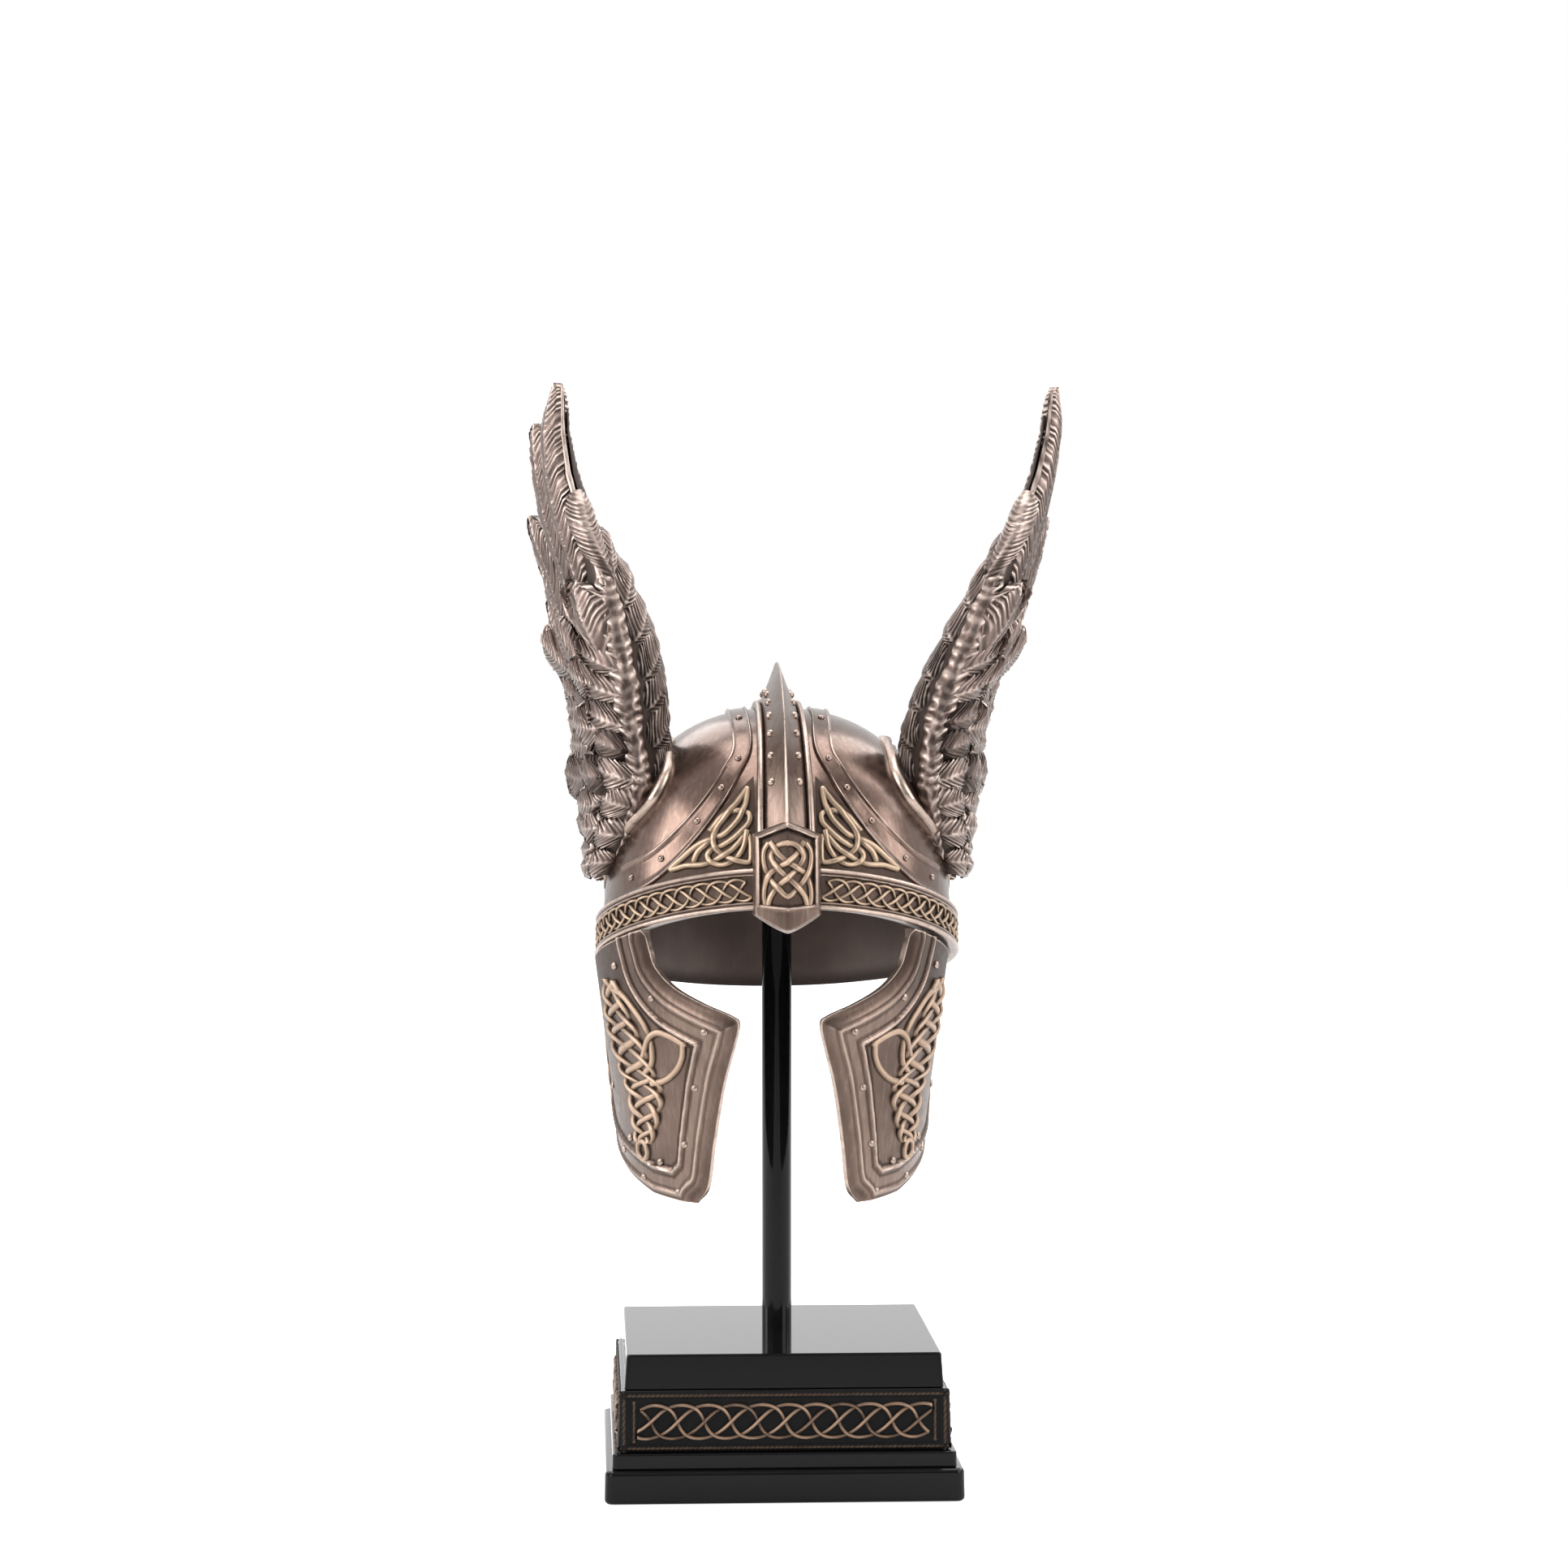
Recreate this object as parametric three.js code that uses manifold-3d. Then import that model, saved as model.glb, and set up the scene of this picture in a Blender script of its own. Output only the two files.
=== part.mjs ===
// A winged helmet on its display stand, in millimetres.
// The helmet faces -Y, +Z is up, and the origin is the middle of the foot's underside.
import * as THREE from 'three';
import { mergeVertices } from 'three/addons/utils/BufferGeometryUtils.js';
import Module from 'manifold-3d';

const wasm = await Module();
wasm.setup();

// Driving dimensions
const GAP = 0.25;
const TIERS = [
  { name: 'foot', low: 93.6, high: 93.2, height: 8.6, corner: 2.5 },
  { name: 'step', low: 89.6, high: 89.4, height: 4.2, corner: 1.5 },
  { name: 'frieze', low: 85.8, high: 84.8, height: 16, corner: 1.2 },
  { name: 'plinth', low: 83.2, high: 82, height: 9.2, corner: 1.2 },
];
const ROD_RADIUS = 4;
const ROD_SIDES = 16;

const BOWL = { halfWidth: 46.5, halfDepth: 53, waist: 149, rise: 56.5, roundness: 2.3, wall: 2.6 };
const BOWL_SIDES = 32;
const BOWL_RINGS = 6;
const RIM = { middle: 138.6, slope: 0.26, bend: 0.0007 };
const CROWN = BOWL.waist + BOWL.rise;

const BAND = { height: 10.8, lip: 1.7, lipReach: 2.2, floorReach: 1.3 };
const PLAQUE = { halfWidth: 8.7, peak: 177, corner: 173.4, shoulder: 153, tip: 148.3, back: 2.6, roof: 2.4,
  field: 1.4, frame: 2.2 };
const COMB = { halfTop: 6.3, halfFront: 7.8, rimHeight: 1.9, ridgeTop: 12.3, ridgeEnd: 4.2, backEnd: 138.4,
  steps: 16, rimStart: 0.78, rimFull: 0.82, step: 0.7, rivetShare: 0.6,
  rivetTurns: [0.65, 1.05, 1.45, 1.85, 2.25] };
const HEM = { halfWidth: 2.6, height: 0.9, steps: 24,
  rivets: [0.03, 0.14, 0.25, 0.36, 0.5, 0.64, 0.75, 0.86] };
const PLATE = { seat: 0.6, field: 1.6, rim: 2.1, rimShare: 0.1 };
const WING_SEAT = 2.6;
const GUARD = { halfWidth: 46.8, halfDepth: 53.5, level: 139, taper: 0.00284, wall: 3.4, border: 0.8,
  shiftLeft: -2, shiftRight: -1 };
const RIVET = { radius: 1, height: 0.8, sides: 4, crown: 0.55 };
const STRAND = { width: 1.3, height: 0.8, crown: 0.7, drop: 0.3, broad: 1.3 };
const PLAQUE_KNOT = { top: 171.2, length: 14.6, turns: 3, half: 4.6 };
const BROW_KNOT = { from: 11.5, length: 74, turns: 6, halfHeight: 2.6 };
const CORNERS = [{ x: 10.6, z: 181.5 }, { x: 10.8, z: 168.4 }, { x: 25.5, z: 166.4 }];
const GUARD_KNOT = { fromTop: 134, length: 46, turns: 5, halfTop: 6.5, halfFoot: 3.5, topAngle: 66,
  footAngle: 58 };

// Riveted hem, from the brow in front, beside the comb, to the brow behind
const HEM_PATH = [
  { x: 40.8, z: 159.6, behind: -1 },
  { x: 32.1, z: 165.8, behind: -1 },
  { x: 22.1, z: 176.5, behind: -1 },
  { x: 14, z: 188.2, behind: -1 },
  { x: 10.4, z: 198.5, behind: -1 },
  { x: 10.4, z: 198.5, behind: 1 },
  { x: 14, z: 188.2, behind: 1 },
  { x: 22.5, z: 174, behind: 1 },
  { x: 32, z: 160.5, behind: 1 },
  { x: 40.8, z: 147, behind: 1 },
];

// Leaf-shaped wing plate: reach to the front and to the back at each height
const PLATE_ROWS = [
  { z: 157, reach: 2 },
  { z: 165, reach: 8.5 },
  { z: 169, reach: 15.2 },
  { z: 175, reach: 22.6 },
  { z: 181.5, reach: 27 },
  { z: 189, reach: 24 },
  { z: 194, reach: 15.5 },
  { z: 197, reach: 6 },
];

// Cheek guard rows from the rim down: angles from the front in degrees, heights at both ends
const GUARD_ROWS = [
  { front: 47, back: 112, zFront: 148.2, zBack: 132.8 },
  { front: 45.5, back: 112, zFront: 143, zBack: 130 },
  { front: 43.5, back: 111.5, zFront: 138.4, zBack: 127.5 },
  { front: 36.7, back: 111, zFront: 133.5, zBack: 125 },
  { front: 26, back: 110.5, zFront: 129.5, zBack: 122 },
  { front: 16, back: 110, zFront: 126.5, zBack: 119 },
  { front: 13.3, back: 109, zFront: 124.3, zBack: 117 },
  { front: 15.3, back: 107, zFront: 118, zBack: 111 },
  { front: 19.5, back: 103, zFront: 108, zBack: 102 },
  { front: 24.4, back: 96, zFront: 92.5, zBack: 91 },
  { front: 28, back: 80, zFront: 81, zBack: 84.5 },
  { front: 34, back: 54, zFront: 76.6, zBack: 78.3 },
];
const GUARD_STOPS = [0, 0.16, 0.19, 0.5, 0.81, 0.84, 1];
// Guard rivets: share across from the front edge, share down from the rim
const GUARD_RIVETS = [
  { across: 0.09, down: 0.3 },
  { across: 0.08, down: 0.6 },
  { across: 0.08, down: 0.7 },
  { across: 0.08, down: 0.8 },
  { across: 0.1, down: 0.9 },
  { across: 0.5, down: 0.96 },
  { across: 0.92, down: 0.88 },
  { across: 0.92, down: 0.7 },
  { across: 0.92, down: 0.45 },
];

// Wing sections from the root up: leading and trailing edge, and how far each face bulges
const WING_ROWS = {
  left: [
    { z: 160, leadX: 44, leadY: -8, trailX: 50, trailY: 9, outer: 4, inner: 5 },
    { z: 172, leadX: 38, leadY: -18, trailX: 52, trailY: 11, outer: 6, inner: 8 },
    { z: 185, leadX: 34.4, leadY: -22.8, trailX: 54.5, trailY: 11, outer: 7, inner: 10 },
    { z: 200, leadX: 37.4, leadY: -21.5, trailX: 54.5, trailY: 13, outer: 6, inner: 10 },
    { z: 212, leadX: 38.5, leadY: -20, trailX: 57, trailY: 19, outer: 5, inner: 10.5 },
    { z: 225, leadX: 41.5, leadY: -17, trailX: 61, trailY: 25, outer: 4, inner: 11 },
    { z: 240, leadX: 46, leadY: -12, trailX: 63.5, trailY: 30, outer: 3, inner: 9 },
    { z: 256, leadX: 51.6, leadY: -4.6, trailX: 66, trailY: 28, outer: 2, inner: 5 },
    { z: 268, leadX: 54.8, leadY: 1, trailX: 66, trailY: 26, outer: 1.5, inner: 3 },
    { z: 280, leadX: 56.4, leadY: 7.3, trailX: 65, trailY: 22, outer: 1, inner: 1.5 },
    { z: 294, leadX: 56.6, leadY: 14, trailX: 59, trailY: 16, outer: 0.6, inner: 0.6 },
  ],
  right: [
    { z: 160, leadX: 44, leadY: -8, trailX: 50, trailY: 9, outer: 4, inner: 5 },
    { z: 172, leadX: 39, leadY: -18, trailX: 52.5, trailY: 11, outer: 6, inner: 7.5 },
    { z: 185, leadX: 36.9, leadY: -22.8, trailX: 54.5, trailY: 11, outer: 7, inner: 8 },
    { z: 200, leadX: 38.5, leadY: -21.5, trailX: 57, trailY: 13, outer: 6, inner: 7.5 },
    { z: 212, leadX: 42.5, leadY: -20, trailX: 61, trailY: 19, outer: 5, inner: 7 },
    { z: 225, leadX: 49.5, leadY: -17, trailX: 67.5, trailY: 25, outer: 4, inner: 7 },
    { z: 240, leadX: 57.5, leadY: -12, trailX: 72.6, trailY: 30, outer: 3, inner: 5.5 },
    { z: 256, leadX: 65, leadY: -4.6, trailX: 75.2, trailY: 28, outer: 2, inner: 2.5 },
    { z: 268, leadX: 69.6, leadY: 1, trailX: 76.6, trailY: 26, outer: 1.5, inner: 1.5 },
    { z: 280, leadX: 73, leadY: 7.5, trailX: 77.4, trailY: 22, outer: 1, inner: 1 },
    { z: 293, leadX: 75, leadY: 14, trailX: 76.2, trailY: 16, outer: 0.6, inner: 0.6 },
  ],
};

// Flight feathers from the tip down, in wing coordinates: height and distance behind the leading edge
const FLIGHT_FEATHERS = [
  { baseZ: 230, baseW: 5, tipZ: 293.6, tipW: 1.2, width: 9 },
  { baseZ: 222, baseW: 8, tipZ: 282.5, tipW: 15, width: 11 },
  { baseZ: 215, baseW: 10, tipZ: 269, tipW: 27, width: 11 },
  { baseZ: 210, baseW: 11, tipZ: 257.5, tipW: 37, width: 12 },
  { baseZ: 204, baseW: 12, tipZ: 242, tipW: 44, width: 12 },
  { baseZ: 199, baseW: 12, tipZ: 225, tipW: 47, width: 11 },
  { baseZ: 193, baseW: 12, tipZ: 211, tipW: 43, width: 10 },
  { baseZ: 187, baseW: 12, tipZ: 199, tipW: 39, width: 9 },
  { baseZ: 179, baseW: 11, tipZ: 185, tipW: 36, width: 10 },
  { baseZ: 170, baseW: 7, tipZ: 171, tipW: 28, width: 10 },
];
// Rows of coverts laid over them on one face, from the top of each row to its foot
const COVERT_ROWS = [
  { face: 1, count: 3, top: { z: 231, w: 4 }, foot: { z: 172, w: 6 }, reach: { z: 27, w: 4 },
    lastReach: { z: 3, w: 18 }, width: 11, lift: 1.2 },
  { face: 1, count: 4, top: { z: 214, w: 2 }, foot: { z: 166, w: 2 }, reach: { z: 22, w: 6 },
    lastReach: { z: 1, w: 13 }, width: 10, lift: 2.2 },
  { face: -1, count: 3, top: { z: 228, w: 3 }, foot: { z: 176, w: 4 }, reach: { z: 26, w: 6 },
    lastReach: { z: 8, w: 16 }, width: 12, lift: 1.2 },
];

const COLOURS = { bronze: 0x8a7364, gilt: 0xcaa46c, lacquer: 0x1d1c1e };

// Small helpers
const lerp = THREE.MathUtils.lerp;
const radians = THREE.MathUtils.degToRad;

function between(rows, key, at, column) {
  const last = rows.length - 1;
  const falling = rows[last][key] < rows[0][key];
  let i = 0;
  while (i < last - 1 && (falling ? at < rows[i + 1][key] : at > rows[i + 1][key])) {
    i += 1;
  }
  const share = (at - rows[i][key]) / (rows[i + 1][key] - rows[i][key]);
  return lerp(rows[i][column], rows[i + 1][column], share);
}

function steppedShare(stops, share) {
  return stops[Math.round(share * (stops.length - 1))];
}

// A closed solid from a geometry whose vertices are moved to their place, turned right side out
function solidFrom(geometry, place) {
  geometry.deleteAttribute('normal');
  geometry.deleteAttribute('uv');
  const spots = geometry.getAttribute('position');
  const spot = new THREE.Vector3();
  for (let i = 0; i < spots.count; i += 1) {
    spot.fromBufferAttribute(spots, i);
    const to = place(spot);
    spots.setXYZ(i, to.x, to.y, to.z);
  }
  const merged = mergeVertices(geometry, 1e-4);
  const flat = merged.getAttribute('position').array;
  const index = Array.from(merged.index.array);
  const corners = [];
  for (let i = 0; i < index.length; i += 3) {
    const [a, b, c] = [index[i], index[i + 1], index[i + 2]];
    if (a !== b && b !== c && c !== a) {
      corners.push(a, b, c);
    }
  }
  const build = (triangles) => new wasm.Manifold(new wasm.Mesh({
    numProp: 3,
    vertProperties: new Float32Array(flat),
    triVerts: new Uint32Array(triangles),
  }));
  const solid = build(corners);
  if (solid.volume() > 0) {
    return solid;
  }
  return build(corners.reverse());
}

// A block bent into shape: place gets shares from 0 to 1 along, across and through
function bentBlock(along, across, through, place) {
  const block = new THREE.BoxGeometry(1, 1, 1, along, across, through);
  return solidFrom(block, (p) => place(p.x + 0.5, p.y + 0.5, p.z + 0.5));
}

// A round sheet bent into shape: place gets the share from the middle out, the angle and the layer
function bentDisc(sides, rings, place) {
  const profile = [];
  for (let i = 0; i <= rings; i += 1) {
    profile.push(new THREE.Vector2(i / rings, 0));
  }
  for (let i = rings; i >= 0; i -= 1) {
    profile.push(new THREE.Vector2(i / rings, 1));
  }
  const disc = new THREE.LatheGeometry(profile, sides);
  return solidFrom(disc, (p) => place(Math.hypot(p.x, p.z), Math.atan2(p.x, p.z), p.y));
}

function joined(solids) {
  return solids.reduce((sum, solid) => sum.add(solid));
}

// The main body of a solid, without loose chips or closed pockets between its feathers
function mainBody(solid) {
  return solid.decompose().reduce((best, piece) => (piece.volume() > best.volume() ? piece : best));
}

function meshOf(name, solid, finish) {
  const { vertProperties, triVerts } = solid.getMesh();
  const geometry = new THREE.BufferGeometry();
  geometry.setAttribute('position', new THREE.BufferAttribute(vertProperties, 3));
  geometry.setIndex(new THREE.BufferAttribute(triVerts, 1));
  geometry.computeVertexNormals();
  const mesh = new THREE.Mesh(geometry, new THREE.MeshStandardMaterial(finish));
  mesh.name = name;
  return mesh;
}

const BRONZE = { color: COLOURS.bronze, roughness: 0.42, metalness: 0.85 };
const GILT = { color: COLOURS.gilt, roughness: 0.38, metalness: 0.9 };
const LACQUER = { color: COLOURS.lacquer, roughness: 0.3, metalness: 0 };

// The bowl's outer surface
function bowlShare(z) {
  const t = THREE.MathUtils.clamp((z - BOWL.waist) / BOWL.rise, 0, 1);
  return (1 - t ** BOWL.roundness) ** (1 / BOWL.roundness);
}

function bowlNormal(p) {
  const q = (p.x / BOWL.halfWidth) ** 2 + (p.y / BOWL.halfDepth) ** 2;
  const side = Math.max(q, 1e-9) ** (BOWL.roundness / 2 - 1);
  const t = Math.max((p.z - BOWL.waist) / BOWL.rise, 0);
  return new THREE.Vector3(
    side * p.x / BOWL.halfWidth ** 2,
    side * p.y / BOWL.halfDepth ** 2,
    t ** (BOWL.roundness - 1) / BOWL.rise,
  ).normalize();
}

function lifted(p, lift) {
  return p.clone().addScaledVector(bowlNormal(p), lift);
}

function bowlPoint(angle, z, lift) {
  const share = bowlShare(z);
  const x = BOWL.halfWidth * share * Math.sin(angle);
  const y = -BOWL.halfDepth * share * Math.cos(angle);
  return lifted(new THREE.Vector3(x, y, z), lift);
}

function frontPoint(x, z, lift, behind = -1) {
  const left = Math.max(bowlShare(z) ** 2 - (x / BOWL.halfWidth) ** 2, 0);
  return lifted(new THREE.Vector3(x, behind * BOWL.halfDepth * Math.sqrt(left), z), lift);
}

function sidePoint(side, y, z, lift) {
  const left = Math.max(bowlShare(z) ** 2 - (y / BOWL.halfDepth) ** 2, 0);
  return lifted(new THREE.Vector3(side * BOWL.halfWidth * Math.sqrt(left), y, z), lift);
}

function rimHeight(y) {
  return RIM.middle - RIM.slope * y + RIM.bend * y * y;
}

// A point near the bowl is slid along a direction until it lies on the bowl
function settled(point, direction) {
  const inside = (p) => {
    const q = (p.x / BOWL.halfWidth) ** 2 + (p.y / BOWL.halfDepth) ** 2;
    const t = Math.max((p.z - BOWL.waist) / BOWL.rise, 0);
    return q ** (BOWL.roundness / 2) + t ** BOWL.roundness < 1;
  };
  let low = -9;
  let high = 12;
  for (let i = 0; i < 40; i += 1) {
    const middle = (low + high) / 2;
    if (inside(point.clone().addScaledVector(direction, middle))) {
      low = middle;
    } else {
      high = middle;
    }
  }
  return point.clone().addScaledVector(direction, low);
}

function domeSolid(rings, outer, inner) {
  return bentDisc(BOWL_SIDES, rings, (out, angle, layer) => {
    const base = rimHeight(-BOWL.halfDepth * Math.cos(angle));
    const up = Math.sin(Math.max(1 - out, 0) * Math.PI / 2) ** 0.85;
    const z = lerp(base, CROWN, up);
    return bowlPoint(angle, Math.min(z, CROWN), layer > 0.5 ? outer : inner);
  });
}

function bandSolid() {
  const middle = 100;
  const { height, lip, lipReach, floorReach } = BAND;
  const outline = [
    [GAP, 0], [lipReach, 0], [lipReach, lip], [floorReach, lip + 0.3],
    [floorReach, height - lip - 0.3], [lipReach, height - lip], [lipReach, height], [GAP, height], [GAP, 0],
  ];
  const profile = outline.map(([reach, up]) => new THREE.Vector2(middle + reach, up));
  const ring = new THREE.LatheGeometry(profile, BOWL_SIDES);
  return solidFrom(ring, (p) => {
    const angle = Math.atan2(p.x, p.z);
    return bandPoint(angle, p.y, Math.hypot(p.x, p.z) - middle);
  });
}

function bandPoint(angle, up, reach) {
  const z = rimHeight(-BOWL.halfDepth * Math.cos(angle)) + up;
  const level = bowlPoint(angle, z, 0);
  const out = new THREE.Vector3(level.x / BOWL.halfWidth ** 2, level.y / BOWL.halfDepth ** 2, 0).normalize();
  return level.addScaledVector(out, reach);
}

function rivetAt(spot, normal) {
  const turn = new THREE.Quaternion().setFromUnitVectors(new THREE.Vector3(0, 1, 0), normal);
  const { radius, height, sides, crown } = RIVET;
  const head = new THREE.CylinderGeometry(radius * crown, radius, height * 2, sides);
  return solidFrom(head, (p) => p.clone().applyQuaternion(turn).add(spot));
}

// The comb's path over the crown: 0 is the waist in front, pi the waist behind, then straight down
function combPath(turn) {
  if (turn > Math.PI) {
    return new THREE.Vector3(0, BOWL.halfDepth, BOWL.waist - (turn - Math.PI) * BOWL.rise);
  }
  const power = 2 / BOWL.roundness;
  const forward = Math.cos(turn);
  const y = -Math.sign(forward) * BOWL.halfDepth * Math.abs(forward) ** power;
  return new THREE.Vector3(0, y, BOWL.waist + BOWL.rise * Math.sin(turn) ** power);
}

function combTurnAt(z) {
  return Math.asin(((z - BOWL.waist) / BOWL.rise) ** (BOWL.roundness / 2));
}

function combHalf(turn) {
  const rise = Math.sin(Math.min(turn, Math.PI)) ** 2;
  return lerp(COMB.halfFront, COMB.halfTop, rise);
}

function combRidge(turn) {
  return lerp(COMB.ridgeEnd, COMB.ridgeTop, Math.sin(Math.min(turn, Math.PI)) ** 1.6);
}

function combPoint(turn, across, height) {
  const middle = combPath(turn);
  const normal = bowlNormal(middle);
  const beside = middle.clone().setX(across * combHalf(turn));
  return settled(beside, normal).addScaledVector(normal, height);
}

function combHeight(turn, across) {
  const out = Math.abs(across);
  if (out > COMB.rimStart) {
    return COMB.rimHeight;
  }
  return lerp(combRidge(turn), COMB.rimHeight - COMB.step, out / COMB.rimStart);
}

function plaqueTop(x) {
  return lerp(PLAQUE.peak, PLAQUE.corner, Math.min(Math.abs(x) / PLAQUE.halfWidth, 1));
}

function combSolid() {
  const { rimStart, rimFull, rivetShare } = COMB;
  const stops = [-1, -rimFull, -rimStart, 0, rimStart, rimFull, 1];
  const end = Math.PI + (BOWL.waist - COMB.backEnd) / BOWL.rise;
  const body = bentBlock(COMB.steps, stops.length - 1, 1, (along, side, layer) => {
    const across = steppedShare(stops, side);
    const start = combTurnAt(plaqueTop(across * COMB.halfFront) + 2 * GAP);
    const turn = lerp(start, end, along);
    return combPoint(turn, across, layer > 0.5 ? combHeight(turn, across) : 2 * GAP);
  });
  const rivets = [];
  for (const turn of COMB.rivetTurns) {
    for (const side of [-1, 1]) {
      const spot = combPoint(turn, side * rivetShare, combHeight(turn, rivetShare));
      const lean = bowlNormal(combPath(turn)).add(new THREE.Vector3(side, 0, 0)).normalize();
      rivets.push(rivetAt(spot, lean));
    }
  }
  return joined([body, ...rivets]);
}

// The plaque hangs in front of the comb's end: u runs across from -1 to 1, z up
function plaquePoint(u, z, lift) {
  const x = u * PLAQUE.halfWidth;
  const roof = PLAQUE.roof * (1 - Math.abs(u));
  const spot = frontPoint(x, Math.max(z, BOWL.waist), 0).setZ(z);
  return spot.setY(spot.y - PLAQUE.back - roof - lift);
}

function plaqueFoot(u) {
  return lerp(PLAQUE.tip, PLAQUE.shoulder, Math.abs(u) ** 1.3);
}

function plaqueSolid() {
  const stops = [-1, -0.82, -0.76, 0, 0.76, 0.82, 1];
  const rows = [0, 0.09, 0.12, 0.5, 0.88, 0.91, 1];
  return bentBlock(stops.length - 1, rows.length - 1, 1, (side, up, layer) => {
    const u = steppedShare(stops, side);
    const share = steppedShare(rows, up);
    const z = lerp(plaqueFoot(u), plaqueTop(u * PLAQUE.halfWidth), share);
    const inFrame = Math.abs(u) > 0.8 || share < 0.1 || share > 0.9;
    const front = inFrame ? PLAQUE.frame : PLAQUE.field;
    const back = -PLAQUE.roof * (1 - Math.abs(u));
    return plaquePoint(u, z, layer > 0.5 ? front : back);
  });
}

function hemCurve(side) {
  return new THREE.CatmullRomCurve3(HEM_PATH.map((row) => frontPoint(side * row.x, row.z, 0, row.behind)));
}

function hemSolid(side) {
  const curve = hemCurve(side);
  const point = (along, across, height) => {
    const middle = curve.getPointAt(along);
    const normal = bowlNormal(middle);
    const aside = curve.getTangentAt(along).cross(normal).normalize();
    const spot = middle.addScaledVector(aside, across * HEM.halfWidth);
    return settled(spot, normal).addScaledVector(normal, height);
  };
  const strip = bentBlock(HEM.steps, 1, 1, (along, across, layer) =>
    point(along, across * 2 - 1, layer > 0.5 ? GAP + HEM.height : GAP));
  const rivets = [];
  for (const along of HEM.rivets) {
    rivets.push(rivetAt(point(along, 0, GAP + HEM.height), bowlNormal(curve.getPointAt(along))));
  }
  return joined([strip, ...rivets]);
}

function platePoint(side, share, z, lift) {
  const reach = between(PLATE_ROWS, 'z', z, 'reach');
  return sidePoint(side, lerp(-reach, reach, share), z, lift);
}

function plateSolid(side) {
  const edge = PLATE.rimShare;
  const stops = [0, edge, edge + 0.03, 0.31, 0.5, 0.69, 0.97 - edge, 1 - edge, 1];
  return bentBlock(stops.length - 1, PLATE_ROWS.length - 1, 1, (across, up, layer) => {
    const share = steppedShare(stops, across);
    const row = PLATE_ROWS[Math.round(up * (PLATE_ROWS.length - 1))];
    const onRim = share < edge + 0.01 || share > 0.99 - edge || up < 0.01 || up > 0.99;
    const top = onRim ? PLATE.rim : PLATE.field;
    return platePoint(side, share, row.z, layer > 0.5 ? top : PLATE.seat);
  });
}

// Cheek guards
function guardPoint(side, degrees, z, lift) {
  const size = 1 - (GUARD.level - z) * GUARD.taper;
  const angle = radians(degrees);
  const x = GUARD.halfWidth * size * Math.sin(angle);
  const y = -GUARD.halfDepth * size * Math.cos(angle);
  const out = new THREE.Vector3(x / GUARD.halfWidth ** 2, y / GUARD.halfDepth ** 2, 0).normalize();
  const spot = new THREE.Vector3(x, y, z).addScaledVector(out, lift);
  return spot.setX(side * spot.x + (side < 0 ? GUARD.shiftLeft : GUARD.shiftRight));
}

// across 0 is the front edge, down 0 the rim
function guardSpot(side, across, down, lift) {
  const last = GUARD_ROWS.length - 1;
  const i = Math.min(Math.floor(down * last), last - 1);
  const share = down * last - i;
  const row = (column) => lerp(GUARD_ROWS[i][column], GUARD_ROWS[i + 1][column], share);
  const degrees = lerp(row('front'), row('back'), across);
  const z = lerp(row('zFront'), row('zBack'), across);
  return guardPoint(side, degrees, z, lift);
}

function guardSolid(side) {
  const rows = GUARD_ROWS.length - 1;
  const body = bentBlock(GUARD_STOPS.length - 1, rows, 1, (share, down, layer) => {
    const across = steppedShare(GUARD_STOPS, share);
    const row = Math.round(down * rows);
    const inBorder = across < 0.17 || across > 0.83 || row < 1 || row > rows - 2;
    const top = inBorder ? GUARD.border : 0;
    return guardSpot(side, across, down, layer > 0.5 ? top : -GUARD.wall);
  });
  const rivets = [];
  for (const { across, down } of GUARD_RIVETS) {
    const normal = guardSpot(side, across, down, 1).sub(guardSpot(side, across, down, 0)).normalize();
    rivets.push(rivetAt(guardSpot(side, across, down, GUARD.border), normal));
  }
  return joined([body, ...rivets]);
}

// Wings
function wingPoint(name, side, z, w, lift) {
  const rows = WING_ROWS[name];
  const at = (column) => between(rows, 'z', z, column);
  const lead = new THREE.Vector3(at('leadX'), at('leadY'), z);
  const chord = new THREE.Vector3(at('trailX'), at('trailY'), z).sub(lead).normalize();
  const out = new THREE.Vector3(chord.y, -chord.x, 0);
  const spot = lead.addScaledVector(chord, w).addScaledVector(out, lift);
  return spot.setX(side * spot.x);
}

function wingChord(name, z) {
  const at = (column) => between(WING_ROWS[name], 'z', z, column);
  return Math.hypot(at('trailX') - at('leadX'), at('trailY') - at('leadY'));
}

// How far a face stands off the chord, at a share of the chord
function wingBulge(name, z, share, face) {
  const depth = between(WING_ROWS[name], 'z', z, face > 0 ? 'outer' : 'inner');
  const s = THREE.MathUtils.clamp(share, 0, 1);
  return face * (0.35 + depth * 3.5 * Math.sqrt(s) * (1 - s) ** 2);
}

function wingCore(name, side) {
  const rows = WING_ROWS[name];
  const stops = [0, 0.06, 0.2, 0.45, 0.88];
  return bentBlock(stops.length - 1, rows.length - 1, 1, (across, up, layer) => {
    const share = steppedShare(stops, across);
    const z = rows[Math.round(up * (rows.length - 1))].z;
    const lift = wingBulge(name, z, share, layer > 0.5 ? 1 : -1);
    return wingPoint(name, side, z, share * wingChord(name, z), lift);
  });
}

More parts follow.
